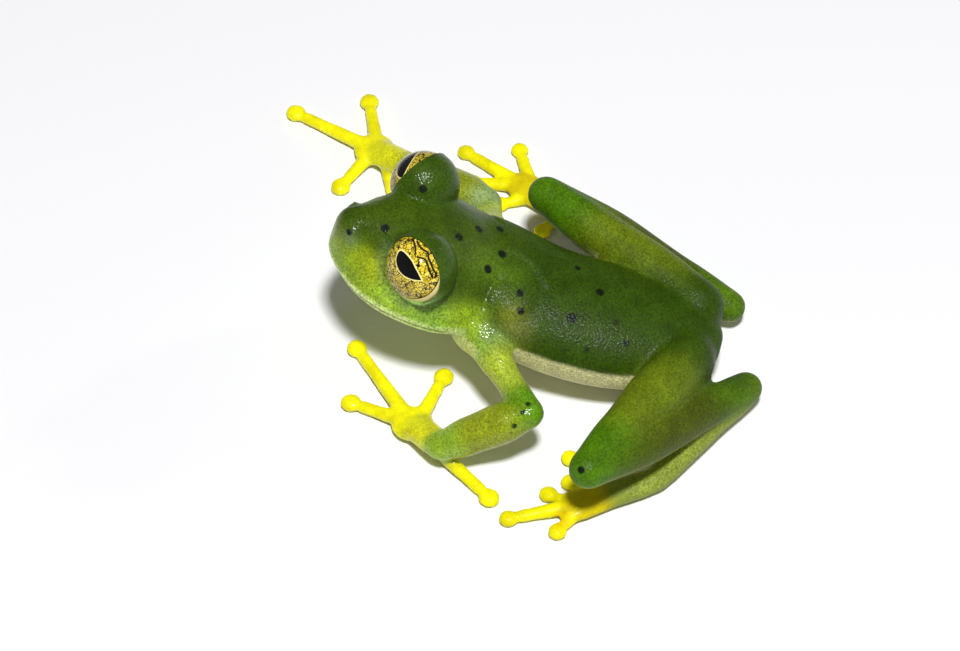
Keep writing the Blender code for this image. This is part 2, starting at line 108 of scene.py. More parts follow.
def ramp(low: float, high: float, values: Array) -> Array:
    """Values eased from 0 at low to 1 at high, which may lie in either order."""
    t = np.clip((values - low) / (high - low), 0.0, 1.0)
    return t * t * (3 - 2 * t)


def smooth_rows(rows: list[Row] | tuple[Row, ...], steps: int) -> list[list[float]]:
    """Rows of numbers on a smooth curve through the given rows.

    Args:
        rows: rows of equal length.
        steps: how many steps lead from each row to the next.

    Returns:
        All rows along the curve, the given ones among them.
    """
    padded = [rows[0], *rows, rows[-1]]
    result = []
    for before, start, end, after in zip(padded, padded[1:], padded[2:], padded[3:]):
        for step in range(steps):
            t = step / steps
            result.append([
                0.5 * (2 * b + (c - a) * t + (2 * a - 5 * b + 4 * c - d) * t ** 2
                       + (3 * b - a - 3 * c + d) * t ** 3)
                for a, b, c, d in zip(before, start, end, after)
            ])
    result.append(list(rows[-1]))
    return result


def between(rows: tuple[Row, ...], share: float) -> list[float]:
    """The row at a share of the way, from rows whose first number is their share."""
    for low, high in zip(rows, rows[1:]):
        if share <= high[0]:
            t = (share - low[0]) / (high[0] - low[0])
            t = t * t * (3 - 2 * t)
            return [a + (b - a) * t for a, b in zip(low[1:], high[1:])]
    return list(rows[-1][1:])


def face_out(bm: bmesh.types.BMesh) -> None:
    """Turn all faces of a closed mesh outwards."""
    bmesh.ops.recalc_face_normals(bm, faces=bm.faces)
    if bm.calc_volume(signed=True) < 0:
        bmesh.ops.reverse_faces(bm, faces=bm.faces)


def extruded(bm: bmesh.types.BMesh, edges: list) -> tuple[set, list]:
    """The new vertices and edges of a row of edges extruded in place."""
    made = bmesh.ops.extrude_edge_only(bm, edges=edges)["geom"]
    fresh = {v for v in made if isinstance(v, bmesh.types.BMVert)}
    return fresh, [e for e in made if isinstance(e, bmesh.types.BMEdge)
                   and e.verts[0] in fresh and e.verts[1] in fresh]


def skin_rings(rings: list[list[Vector]]) -> bmesh.types.BMesh:
    """A closed mesh through rings of points.

    Args:
        rings: rings of equal length, in order along the form.

    Returns:
        The mesh, with each ring extruded from the one before and both ends closed.
    """
    bm = bmesh.new()
    ring = bmesh.ops.create_circle(bm, cap_ends=True, segments=len(rings[0]), radius=1)["verts"]
    for vert, place in zip(ring, rings[0]):
        vert.co = place
    edges = bm.edges[:]
    for places in rings[1:]:
        fresh, edges = extruded(bm, edges)
        ring = [next(e.other_vert(v) for e in v.link_edges if e.other_vert(v) in fresh)
                for v in ring]
        for vert, place in zip(ring, places):
            vert.co = place
    bmesh.ops.contextual_create(bm, geom=edges)
    face_out(bm)
    return bm


def ball(radii: Place, turn: Matrix, segments: int = 24) -> bmesh.types.BMesh:
    """An ellipsoid with the given half sizes, set in place by a matrix."""
    bm = bmesh.new()
    bmesh.ops.create_uvsphere(bm, u_segments=segments, v_segments=segments // 2, radius=1)
    bmesh.ops.scale(bm, vec=radii, verts=bm.verts)
    bm.transform(turn)
    return bm


def fused(parts: list[bmesh.types.BMesh]) -> bmesh.types.BMesh:
    """One mesh that holds all the parts, which are freed."""
    whole = bmesh.new()
    for part in parts:
        mesh = bpy.data.meshes.new("part")
        part.to_mesh(mesh)
        part.free()
        whole.from_mesh(mesh)
        bpy.data.meshes.remove(mesh)
    return whole


def points_of(bm: bmesh.types.BMesh) -> Array:
    """The places of a mesh's vertices, one row each."""
    return np.array([v.co[:] for v in bm.verts])


def normals_of(bm: bmesh.types.BMesh) -> Array:
    """The normals of a mesh's vertices, one row each."""
    bm.normal_update()
    return np.array([v.normal[:] for v in bm.verts])


def set_points(bm: bmesh.types.BMesh, points: Array) -> None:
    """Move a mesh's vertices to the given rows."""
    for vert, place in zip(bm.verts, points):
        vert.co = place


def away_from(points: Array, centre: Vector | Array) -> Array:
    """How far each point is from a place."""
    return np.linalg.norm(points - np.array(centre), axis=1)


def from_line(points: Array, line: Array) -> Array:
    """How far each point is from the nearest part of a line through several places."""
    best = np.full(len(points), np.inf)
    for start, end in zip(line, line[1:]):
        along = end - start
        t = np.clip((points - start) @ along / (along @ along), 0, 1)
        best = np.minimum(best, np.linalg.norm(points - start - t[:, None] * along, axis=1))
    return best


@dataclass(frozen=True)
class PhotoView:
    """The view that the photograph has of the frog, in the design frame."""

    elevation: float = 50.0
    azimuth: float = 99.0
    distance: float = 250.0
    target: Place = (0.0, 0.0, 4.0)
    aside: Pixel = (-4.82, -1.536)
    focal: float = 4150.0
    size: tuple[int, int] = (960, 651)

    def axes(self) -> tuple[Vector, Vector, Vector]:
        """Image right, image up and the way back to the camera."""
        back = (self.position() - self.aim()).normalized()
        right = UP.cross(back).normalized()
        return right, back.cross(right), back

    def position(self) -> Vector:
        """Where the camera is."""
        a, e = math.radians(self.azimuth), math.radians(self.elevation)
        back = Vector((math.sin(a) * math.cos(e), -math.cos(a) * math.cos(e), math.sin(e)))
        return Vector(self.target) + back * self.distance

    def aim(self) -> Vector:
        """The place at the middle of the image."""
        a = math.radians(self.azimuth)
        right = Vector((math.cos(a), math.sin(a), 0.0))
        back = (self.position() - Vector(self.target)).normalized()
        return Vector(self.target) + right * self.aside[0] + back.cross(right) * self.aside[1]

    def ray(self, pixel: Pixel) -> Vector:
        """The direction from the camera through a pixel of the photograph."""
        right, up, back = self.axes()
        x, y = pixel[0] - self.size[0] / 2, self.size[1] / 2 - pixel[1]
        return (right * x + up * y - back * self.focal).normalized()

    def hit(self, pixel: Pixel, tree: BVHTree) -> Vector:
        """The place on the skin that a pixel of the photograph shows."""
        place = tree.ray_cast(self.position(), self.ray(pixel))[0]
        if place is None:
            raise ValueError(f"pixel {pixel} shows no skin")
        return place


@dataclass(frozen=True)
class Head:
    """The head without its eyes.

    Places in the head's own frame are (forward, left, up) from midway between the eyes.
    Each section gives the place forward, the height of the crown, half width and height
    at the canthus, at the upper lip and at the edge of the jaw, and the throat's height.
    """

    centre: Place = (0.7, -8.3, 10.0)
    yaw: float = 9.2
    pitch: float = 15.0
    mouth_at: float = -3.45
    sections: tuple[Row, ...] = (
        (-6.6, -0.8, 2.3, -1.7, 3.50, -3.4, 2.8, -4.5, -5.6),
        (-5.5, -0.6, 2.55, -1.5, 3.90, -3.3, 3.1, -4.4, -5.4),
        (-4.5, -0.3, 2.75, -1.2, 4.35, -3.25, 3.4, -4.3, -5.2),
        (-3.3, 0.1, 2.92, -0.75, 4.80, -3.2, 3.75, -4.2, -4.9),
        (-2.0, 0.45, 3.06, -0.3, 4.96, -3.2, 3.9, -4.1, -4.7),
        (-0.8, 0.7, 3.1, 0.0, 4.87, -3.2, 3.85, -4.05, -4.6),
        (0.4, 0.85, 3.0, 0.1, 4.60, -3.2, 3.6, -4.0, -4.5),
        (1.6, 0.75, 2.5, 0.0, 4.17, -3.2, 3.2, -3.95, -4.4),
        (2.7, 0.5, 1.75, -0.2, 3.50, -3.15, 2.65, -3.9, -4.3),
        (3.6, 0.2, 1.2, -0.4, 2.70, -3.1, 2.0, -3.8, -4.15),
        (4.25, -0.1, 0.95, -0.55, 1.80, -3.0, 1.3, -3.65, -3.9),
        (4.7, -0.45, 0.7, -0.8, 1.00, -2.85, 0.7, -3.35, -3.55),
        (4.95, -1.0, 0.35, -1.2, 0.40, -2.5, 0.3, -2.85, -3.0),
    )
    steps_round: tuple[int, ...] = (8, 10, 4, 6)
    steps_along: int = 3
    nostril: Place = (4.05, 1.0, -0.62)
    nostril_swell: float = 0.32

    def matrix(self) -> Matrix:
        """From the head's frame to the design frame."""
        turn = Matrix.Rotation(math.radians(self.yaw), 3, "Z")
        turn = turn @ Matrix.Rotation(-math.radians(self.pitch), 3, "X")
        columns = Matrix((turn @ FORWARD, turn @ LEFTWARD, turn @ UP)).transposed().to_4x4()
        columns.translation = Vector(self.centre)
        return columns

    def local(self, points: Array) -> Array:
        """Points of the design frame in the head's frame."""
        inverse = np.array(self.matrix().inverted())
        return points @ inverse[:3, :3].T + inverse[:3, 3]

    def place(self, forward: float, left: float, up: float) -> Vector:
        """A place of the head's frame in the design frame."""
        return self.matrix() @ Vector((forward, left, up))

    def forms(self) -> list[bmesh.types.BMesh]:
        """The head's loft and the swellings round the nostrils."""
        frame_matrix = self.matrix()
        rings = []
        for row in smooth_rows(self.sections, self.steps_along):
            forward, crown, canthus, canthus_up, lip, lip_up, jaw, jaw_up, throat = row
            half = ((0.0, crown), (canthus, canthus_up), (lip, lip_up), (jaw, jaw_up),
                    (0.0, throat))
            outline = [*half, *((-left, up) for left, up in reversed(half[1:-1])), half[0]]
            padded = [outline[-2], *outline, outline[1]]
            ring = []
            for index, count in enumerate(self.steps_round + self.steps_round[::-1]):
                stretch = smooth_rows(padded[index:index + 4], count)[count:2 * count]
                ring += [frame_matrix @ Vector((forward, left, up)) for left, up in stretch]
            rings.append(ring)
        swellings = [ball((self.nostril_swell,) * 3, Matrix.Translation(self.nostril_at(side)))
                     for side in Side]
        return [skin_rings(rings), *swellings]

    def nostril_at(self, side: Side) -> Vector:
        """The middle of one nostril."""
        forward, left, up = self.nostril
        return self.place(forward, side.value * left, up)


HEAD = Head()
VIEW = PhotoView()


@dataclass(frozen=True)
class Torso:
    """The trunk, from the neck to the vent, with its shoulder blades.

    Each section gives its centre, half width, height above and depth below the centre.
    """

    sections: tuple[Row, ...] = (
        (0.00, -6.8, 7.25, 3.3, 2.1, 2.45),
        (0.08, -5.7, 6.80, 3.55, 2.15, 2.5),
        (0.25, -4.6, 6.25, 3.85, 2.25, 2.55),
        (0.55, -3.1, 5.45, 4.08, 2.4, 2.75),
        (0.84, -1.2, 4.70, 4.15, 2.6, 2.95),
        (0.98, 0.9, 4.15, 4.2, 2.7, 3.0),
        (0.98, 3.0, 3.75, 4.2, 2.65, 2.85),
        (0.90, 5.0, 3.45, 3.95, 2.5, 2.65),
        (0.84, 6.8, 3.20, 3.4, 2.25, 2.3),
        (0.78, 8.3, 3.00, 2.7, 1.85, 1.85),
        (0.74, 9.3, 2.85, 1.9, 1.4, 1.3),
        (0.74, 9.9, 2.75, 0.9, 0.8, 0.7),
    )
    sides: int = 52
    steps_along: int = 4
    back_roundness: float = 1.95
    belly_roundness: float = 2.25
    blade: Place = (1.85, -2.2, 6.88)
    blade_size: Place = (1.55, 2.0, 0.58)
    blade_slopes: tuple[float, float] = (20.0, 15.0)
    backbone_x: float = 0.7

    def forms(self) -> list[bmesh.types.BMesh]:
        """The trunk's loft and the two shoulder blades."""
        keys = smooth_rows(self.sections, self.steps_along)
        rings = []
        for index, (x, y, z, width, above, below) in enumerate(keys):
            ahead = keys[min(index + 1, len(keys) - 1)]
            behind = keys[max(index - 1, 0)]
            along = (Vector(ahead[:3]) - Vector(behind[:3])).normalized()
            across = along.cross(UP).normalized()
            rise = across.cross(along)
            ring = []
            for i in range(self.sides):
                angle = 2 * math.pi * i / self.sides
                sine, cosine = math.sin(angle), math.cos(angle)
                top = cosine > 0
                power = self.back_roundness if top else self.belly_roundness
                height = above if top else below
                squared = (abs(sine) ** power + abs(cosine) ** power) ** (-1 / power)
                ring.append(Vector((x, y, z)) + across * sine * squared * width
                            + rise * cosine * squared * height)
            rings.append(ring)
        x, y, z = self.blade
        slope_out, slope_back = (math.radians(angle) for angle in self.blade_slopes)
        blades = [
            ball(self.blade_size, Matrix.Translation((self.backbone_x + s.value * x, y, z))
                 @ Matrix.Rotation(s.value * slope_out, 4, "Y")
                 @ Matrix.Rotation(-slope_back, 4, "X"))
            for s in Side
        ]
        return [skin_rings(rings), *blades]

    def axis(self) -> Array:
        """The trunk's centre line."""
        return np.array(smooth_rows(self.sections, 2))[:, :3]


def oval_rings(rows: list[tuple], across: Vector, rise: Vector, sides: int) -> list[list[Vector]]:
    """Rings of points round a line of (place, half width, half height) rows."""
    turns = [2 * math.pi * i / sides for i in range(sides)]
    return [[place + across * math.sin(a) * width + rise * math.cos(a) * height for a in turns]
            for place, width, height in rows]


@dataclass(frozen=True)
class Length:
    """A length of limb between two joints, round at its ends.

    Sizes are rows of share of the way, half width and half height.
    """

    start: Place
    end: Place
    sizes: tuple[Row, ...]
    sides: int = 24
    steps: int = 18
    round_end: tuple[int, ...] = (20, 40, 58, 74, 85)

    def form(self) -> bmesh.types.BMesh:
        """The length of limb as a closed mesh."""
        start, end = Vector(self.start), Vector(self.end)
        along = (end - start).normalized()
        across = along.cross(UP).normalized()
        rise = across.cross(along)
        shares = [i / self.steps for i in range(self.steps + 1)]
        rows = [(start.lerp(end, share), *between(self.sizes, share)) for share in shares]
        for at_end in (False, True):
            place, width, height = rows[-1] if at_end else rows[0]
            outward = along if at_end else -along
            for angle in self.round_end:
                c, s = math.cos(math.radians(angle)), math.sin(math.radians(angle))
                row = (place + outward * s * min(width, height), width * c, height * c)
                rows.insert(len(rows) if at_end else 0, row)
        return skin_rings(oval_rings(rows, across, rise, self.sides))

    def line(self) -> Array:
        """The two joints, one row each."""
        return np.array([self.start, self.end])

    def thickness(self) -> float:
        """The mean of its half widths."""
        return sum(row[1] for row in self.sizes) / len(self.sizes)


@dataclass(frozen=True)
class Digit:
    """A finger or toe along the floor, with a round, flat disc at its tip."""

    start: Place
    tip: Pixel
    disc_radius: float
    disc_height: float = 0.37
    disc_lift: float = 0.3
    disc_setback: float = 1.25
    disc_flatness: float = 0.6
    sizes: tuple[Row, ...] = ((0.0, 0.56, 0.48), (0.4, 0.46, 0.4), (0.8, 0.4, 0.34))
    sides: int = 16
    steps: int = 14
    round_disc: tuple[int, ...] = (-60, -45, -30, -15, 0, 15, 30, 44, 57, 70, 82)

    def line(self) -> Array:
        """From the root in the palm to the middle of the disc, one row each."""
        return np.array([self.start, (*self.tip, self.disc_lift)])

    def form(self) -> bmesh.types.BMesh:
        """The digit as a closed mesh."""
        start, tip = (Vector(p) for p in self.line())
        length = (tip - start).length
        neck = length - self.disc_radius * self.disc_setback
        along = (tip - start).normalized()
        across = along.cross(UP).normalized()
        rise = across.cross(along)
        rows = []
        for step in range(self.steps + 1):
            share = step / self.steps
            rows.append((start + along * share * neck, *between(self.sizes, share)))
        for angle in self.round_disc:
            c, s = math.cos(math.radians(angle)), math.sin(math.radians(angle))
            rows.append((start + along * (length + s * self.disc_radius),
                         self.disc_radius * c, self.disc_height * c ** self.disc_flatness))
        return skin_rings(oval_rings(rows, across, rise, self.sides))


@dataclass(frozen=True)
class Web:
    """A thin web between two digits, with a hollow free edge."""

    first: Digit
    second: Digit
    reach: tuple[float, float]
    hollow: float = 0.45
    thickness: float = 0.32
    height: float = 0.34
    cells: int = 10

    def form(self) -> bmesh.types.BMesh:
        """The web as a closed plate."""
        (a, tip_a), (b, tip_b) = self.first.line(), self.second.line()
        bm = bmesh.new()
        bmesh.ops.create_grid(bm, x_segments=self.cells, y_segments=self.cells, size=1)
        for vert in bm.verts:
            out, side = (vert.co.x + 1) / 2, (vert.co.y + 1) / 2
            pull = 1 - self.hollow * 4 * side * (1 - side)
            on_a = a + (tip_a - a) * self.reach[0] * out * pull
            on_b = b + (tip_b - b) * self.reach[1] * out * pull
            place = on_a + (on_b - on_a) * side
            vert.co = (place[0], place[1], self.height)
        bmesh.ops.remove_doubles(bm, verts=bm.verts, dist=WELD)
        bmesh.ops.recalc_face_normals(bm, faces=bm.faces)
        bmesh.ops.solidify(bm, geom=bm.faces[:], thickness=self.thickness)
        bmesh.ops.recalc_face_normals(bm, faces=bm.faces)
        top = max(v.co.z for v in bm.verts)
        bmesh.ops.translate(bm, vec=(0, 0, self.height + self.thickness / 2 - top), verts=bm.verts)
        return bm


@dataclass(frozen=True)
class Arm:
    """An arm with its hand and fingers. Fingers run from the thumb outwards."""

    side: Side
    shoulder: Place
    elbow: Place
    wrist: Place
    palm: Place
    tips: tuple[Pixel, ...]
    roots: tuple[float, ...]
    webs: tuple[tuple[int, int, float, float], ...]
    upper_sizes: tuple[Row, ...] = ((0.0, 1.6, 1.7), (0.3, 1.08, 1.12), (0.65, 0.82, 0.84),
                                    (1.0, 0.94, 0.94))
    fore_sizes: tuple[Row, ...] = ((0.0, 1.0, 1.0), (0.3, 1.28, 1.2), (0.7, 1.2, 1.1),
                                   (1.0, 0.95, 0.85))
    palm_sizes: tuple[Row, ...] = ((0.0, 0.95, 0.85), (0.45, 0.95, 0.68), (1.0, 1.05, 0.56))
    pad: Place = (1.3, 1.3, 0.5)
    disc_radius: float = 0.64

    def lengths(self) -> dict[str, Length]:
        """The lengths of the arm, by name."""
        return {
            "upper_arm": Length(self.shoulder, self.elbow, self.upper_sizes),
            "forearm": Length(self.elbow, self.wrist, self.fore_sizes),
            "hand": Length(self.wrist, self.palm, self.palm_sizes),
        }

    def digits(self) -> list[Digit]:
        """The fingers in order."""
        return fan(self.wrist, self.palm, self.tips, self.roots, self.disc_radius)

    def nodes(self) -> list[str]:
        """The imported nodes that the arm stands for."""
        word = self.side.word
        return ([f"{word}_{name}" for name in self.lengths()]
                + [f"{word}_finger_{i}" for i in range(1, len(self.tips) + 1)])


@dataclass(frozen=True)
class Leg:
    """A hind leg with its foot and toes. Toes run from the inner one outwards."""

    side: Side
    hip: Place
    knee: Place
    heel: Place
    ankle: Place
    foot: Place
    tips: tuple[Pixel, ...]
    roots: tuple[float, ...]
    webs: tuple[tuple[int, int, float, float], ...]
    thigh_sizes: tuple[Row, ...] = ((0.0, 1.6, 1.9), (0.3, 1.75, 1.8), (0.7, 1.45, 1.5),
                                    (1.0, 1.2, 1.2))
    shank_sizes: tuple[Row, ...] = ((0.0, 1.2, 1.2), (0.35, 1.5, 1.4), (0.75, 1.2, 1.15),
                                    (1.0, 1.05, 1.0))
    tarsus_sizes: tuple[Row, ...] = ((0.0, 1.05, 1.0), (0.4, 0.85, 0.8), (1.0, 0.8, 0.68))
    sole_sizes: tuple[Row, ...] = ((0.0, 0.8, 0.68), (0.5, 0.88, 0.58), (1.0, 1.1, 0.5))
    pad: Place = (1.1, 1.1, 0.46)
    disc_radius: float = 0.563

    def lengths(self) -> dict[str, Length]:
        """The lengths of the leg, by name."""
        return {
            "thigh": Length(self.hip, self.knee, self.thigh_sizes),
            "shank": Length(self.knee, self.heel, self.shank_sizes),
            "tarsus": Length(self.heel, self.ankle, self.tarsus_sizes),
            "foot": Length(self.ankle, self.foot, self.sole_sizes),
        }

    def digits(self) -> list[Digit]:
        """The toes in order."""
        return fan(self.ankle, self.foot, self.tips, self.roots, self.disc_radius)

    def nodes(self) -> list[str]:
        """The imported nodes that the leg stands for."""
        word = self.side.word
        return ([f"{word}_{name}" for name in self.lengths()]
                + [f"{word}_toe_{i}" for i in range(1, len(self.tips) + 1)])


def fan(start: Place, end: Place, tips: tuple[Pixel, ...], roots: tuple[float, ...],
        disc_radius: float) -> list[Digit]:
    """The digits of a hand or foot.

    Args:
        start: where the palm or sole begins.
        end: where it ends.
        tips: the middles of the discs on the floor.
        roots: how far along the palm or sole each digit starts, as a share.
        disc_radius: half the width of a disc.

    Returns:
        The digits in the order of their tips.
    """
    digits = []
    for tip, share in zip(tips, roots):
        base = Vector(start).lerp(Vector(end), share)
        digits.append(Digit((base.x, base.y, end[2]), tip, disc_radius))
    return digits


ARMS = (
    Arm(Side.LEFT, (3.6, -4.5, 4.9), (8.95, -0.35, 4.2), (10.35, -5.3, 1.6), (8.2, -7.5, 0.6),
        ((4.1, -6.4), (2.9, -12.0), (7.1, -11.5), (12.6, -2.0)), (0.9, 1.0, 1.0, 0.55),
        ((0, 1, 0.3, 0.25), (1, 2, 0.45, 0.6), (2, 3, 0.3, 0.25))),
    Arm(Side.RIGHT, (-2.8, -4.6, 4.9), (-7.9, -6.0, 2.9), (-11.0, -11.2, 1.6), (-13.0, -14.2, 0.6),
        ((-9.2, -12.2), (-9.8, -15.7), (-15.4, -19.8), (-17.2, -15.4)), (0.7, 1.0, 1.0, 0.9),
        ((0, 1, 0.3, 0.3), (1, 2, 0.35, 0.3), (2, 3, 0.5, 0.6))),
)
LEGS = (
    Leg(Side.LEFT, (2.6, 8.3, 3.5), (13.1, 3.9, 5.1), (2.45, 11.8, 1.5), (9.8, 7.5, 0.75),
        (12.4, 3.1, 0.52), ((8.8, 2.2), (10.6, 2.5), (11.7, 1.4), (13.9, -0.6), (14.3, 2.4)),
        (0.55, 0.8, 1.0, 1.0, 0.85),
        ((0, 1, 0.4, 0.4), (1, 2, 0.5, 0.5), (2, 3, 0.6, 0.6), (3, 4, 0.6, 0.65))),
    Leg(Side.RIGHT, (-1.5, 8.2, 3.5), (-7.35, -2.2, 5.1), (-3.6, 9.9, 1.5), (-7.8, 2.7, 0.75),
        (-11.8, -4.4, 0.52),
        ((-8.5, -2.6), (-10.2, -5.6), (-11.7, -7.6), (-14.1, -8.5), (-14.9, -5.2)),
        (0.6, 0.85, 1.0, 1.0, 0.9),
        ((0, 1, 0.4, 0.4), (1, 2, 0.5, 0.5), (2, 3, 0.55, 0.6), (3, 4, 0.6, 0.6))),
)


@dataclass(frozen=True)
class Eye:
    """An eye: a clear outer ball round an iris that is a low dome, with the lids' sizes.

    The eye's frame has its third axis along the gaze, its first towards the snout and
    its second upwards, so that both eyes carry the same pattern, mirrored.
    """

    side: Side
    apart: float = 3.25
    radius: float = 2.04
    gaze_outward: float = 40.0
    gaze_up: float = 12.0
    dome_radius: float = 2.24
    lid_height: float = 0.46
    lid_tilt: float = 4.0
    lid_tilt_towards: float = 40.0
    iris_radius: float = 1.93
    iris_height: float = 0.42
    iris_rise: float = 1.0
    body_radius: float = 1.985
    rings: int = 64
    sides: int = 192

    def axes(self) -> tuple[Vector, Vector, Vector]:
        """Towards the snout, upwards and along the gaze, in the design frame."""
        out, up = math.radians(self.gaze_outward), math.radians(self.gaze_up)
        turn = HEAD.matrix().to_3x3()
        gaze = turn @ Vector((math.cos(up) * math.cos(out),
                              self.side.value * math.cos(up) * math.sin(out), math.sin(up)))
        rise = turn @ UP
        rise = (rise - gaze * rise.dot(gaze)).normalized()
        onward = gaze.cross(rise) * self.side.value
        return onward.normalized(), rise, gaze

    def centre(self) -> Vector:
        """The eyeball's centre."""
        return HEAD.place(0.0, self.side.value * self.apart, 0.0)

    def local(self, points: Array) -> Array:
        """Points of the design frame in the eye's frame."""
        return (points - np.array(self.centre())) @ np.array(self.axes()).T

    def lid_frame(self) -> Matrix:
        """A right-handed frame whose third axis stands on the opening of the lids."""
        onward, rise, gaze = self.axes()
        towards = math.radians(self.lid_tilt_towards)
        lean = onward * math.cos(towards) + rise * math.sin(towards)
        tilt = math.radians(self.lid_tilt)
        normal = (gaze * math.cos(tilt) - lean * math.sin(tilt)).normalized()
        matrix = normal.to_track_quat("Z", "Y").to_matrix().to_4x4()
        matrix.translation = self.centre()
        return matrix

    def dome(self) -> bmesh.types.BMesh:
        """The round swelling of skin over the eyeball."""
        return ball((self.dome_radius,) * 3, Matrix.Translation(self.centre()), 48)


EYES = (
    Eye(Side.LEFT),
    Eye(Side.RIGHT, dome_radius=2.17, lid_height=0.5, lid_tilt=10.5, lid_tilt_towards=51.0),
)


def packed_shift() -> Vector:
    """How far the solids' frame lies from the design frame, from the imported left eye.

    Returns:
        The shift in millimetres.
    """
    radius, back_radius, back_shift = 2.04, 2.55, 1.9
    sides, steps, pole = 22, 7, 0.04
    eye = EYES[0]
    matrix = eye.axes()[2].to_track_quat("Z", "Y").to_matrix().to_4x4()
    matrix.translation = eye.centre()
    rim_up = (radius ** 2 - back_radius ** 2 + back_shift ** 2) / (2 * back_shift)
    outer_angle = math.acos(rim_up / radius)
    back_angle = math.acos((back_shift - rim_up) / back_radius)
    profile = []
    for i in range(steps):
        angle = pole + (outer_angle - pole) * i / (steps - 1)
        profile.append((radius * math.sin(angle), radius * math.cos(angle)))
    for i in range(1, steps):
        angle = back_angle + (pole - back_angle) * i / (steps - 1)
        profile.append((back_radius * math.sin(angle), back_shift - back_radius * math.cos(angle)))
    turns = [2 * math.pi * i / sides for i in range(sides)]
    places = np.array([matrix @ Vector((r * math.cos(a), r * math.sin(a), h))
                       for r, h in profile for a in turns])
    low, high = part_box("left_eye")
    middle = (low + high) / 2 / MM
    return middle - Vector((places.min(0) + places.max(0)) / 2)


SHIFT = packed_shift()


def add_node(tree: bpy.types.NodeTree, kind: str, values: dict | None = None,
             links: dict | None = None, **settings) -> bpy.types.Node:
    """Add a node with its settings and links.

    Args:
        tree: the node tree.
        kind: the node's type.
        values: input values by name or number.
        links: sockets to link to inputs, by name or number.
        **settings: the node's own settings.

    Returns:
        The new node.
    """
    node = tree.nodes.new(kind)
    for name, value in settings.items():
        setattr(node, name, value)
    for key, value in (values or {}).items():
        node.inputs[key].default_value = value
    for key, socket in (links or {}).items():
        tree.links.new(socket, node.inputs[key])
    return node


class Graph:
    """A material and its nodes, each added by a short call that gives back its output."""

    def __init__(self, name: str) -> None:
        """Start a node material with the given name."""
        self.material = bpy.data.materials.new(name)
        self.material.use_nodes = True
        self.tree = self.material.node_tree
        self.shader = self.tree.nodes["Principled BSDF"]

    def stored(self, name: str, output: str = "Fac") -> Socket:
        """A value stored on the mesh."""
        return add_node(self.tree, "ShaderNodeAttribute", attribute_name=name).outputs[output]

    def noise(self, place: Socket, scale: float, detail: float, roughness: float = 0.5,
              output: str = "Fac") -> Socket:
        """Soft noise."""
        return add_node(self.tree, "ShaderNodeTexNoise",
                        {"Scale": scale, "Detail": detail, "Roughness": roughness},
                        {"Vector": place}).outputs[output]

    def cells(self, place: Socket, scale: float, feature: str = "F1") -> Socket:
        """The distances of a pattern of cells."""
        return add_node(self.tree, "ShaderNodeTexVoronoi", {"Scale": scale, "Randomness": 1.0},
                        {"Vector": place}, feature=feature).outputs["Distance"]

    def span(self, source: Socket, low: float, high: float, start: float, end: float) -> Socket:
        """A value carried from low and high to start and end, and held there past them."""
        return add_node(self.tree, "ShaderNodeMapRange", {1: low, 2: high, 3: start, 4: end},
                        {0: source}).outputs[0]

    def maths(self, operation: str, *inputs: Socket | float) -> Socket:
        """A sum on sockets and numbers, in order."""
        numbers = {i: v for i, v in enumerate(inputs) if isinstance(v, float)}
        sockets = {i: v for i, v in enumerate(inputs) if not isinstance(v, float)}
        return add_node(self.tree, "ShaderNodeMath", numbers, sockets,
                        operation=operation).outputs[0]

    def over(self, below: Socket, code: str, share: Socket) -> Socket:
        """A colour laid over another by a share."""
        return add_node(self.tree, "ShaderNodeMix", {7: linear(code)}, {0: share, 6: below},
                        data_type="RGBA").outputs[2]

    def feed(self, source: Socket, *names: str) -> None:
        """Link a socket to inputs of the shader."""
        for name in names:
            self.tree.links.new(source, self.shader.inputs[name])

    def hold(self, **values: float | tuple) -> None:
        """Set inputs of the shader, with an underscore for each space in their names."""
        for name, value in values.items():
            self.shader.inputs[name.replace("_", " ")].default_value = value


def settle(obj: bpy.types.Object, slot: Slot, *nodes: str) -> bpy.types.Object:
    """Ride the piece on the body, hide the nodes that it stands for, and log it."""
    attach(obj, "root")
    if nodes:
        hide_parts(*nodes)
    LOG.info("%s: %d faces, stands for %d nodes", obj.name, len(obj.data.polygons), len(nodes))
    return obj


def finished(bm: bmesh.types.BMesh, name: str, material: bpy.types.Material) -> bpy.types.Object:
    """A piece from a mesh in the design frame.

    Args:
        bm: the mesh in millimetres, which is freed.
        name: the piece's name.
        material: its finish.

    Returns:
        The piece, in metres, in the frame of the solids.
    """
    bmesh.ops.translate(bm, vec=SHIFT, verts=bm.verts)
    bmesh.ops.scale(bm, vec=(MM,) * 3, verts=bm.verts)
    mesh = bpy.data.meshes.new(name)
    bm.to_mesh(mesh)
    bm.free()
    mesh.shade_smooth()
    obj = bpy.data.objects.new(name, mesh)
    obj.data.materials.append(material)
    bpy.context.scene.collection.objects.link(obj)
    return obj


def write_attribute(mesh: bpy.types.Mesh, name: str, kind: str, values: Array) -> None:
    """Store one value for each vertex of a mesh."""
    attribute = mesh.attributes.new(name, kind, "POINT")
    key = {"FLOAT": "value", "FLOAT_COLOR": "color", "FLOAT_VECTOR": "vector"}[kind]
    attribute.data.foreach_set(key, np.ascontiguousarray(values, dtype=np.float32).ravel())


@dataclass(frozen=True)
class Mark:
    """A small dark spot, or painted shade in a nostril, placed by the pixel of the photograph that
    shows its middle.
    """

    pixel: Pixel
    radius: float = 0.26
    strength: float = 1.0


@dataclass(frozen=True)
class Patch:
    """A soft area of another colour, placed by a pixel of the photograph."""

    pixel: Pixel
    radius: float
    colour: str
    strength: float = 1.0
    mirrored: bool = False


@dataclass(frozen=True)
class Fold:
    """A crease or a ridge of skin along pixels of the photograph.

    A positive depth sinks the line, and a negative one raises it.
    """

    pixels: tuple[Pixel, ...]
    depth: float
    width: float
    mirrored: bool = False


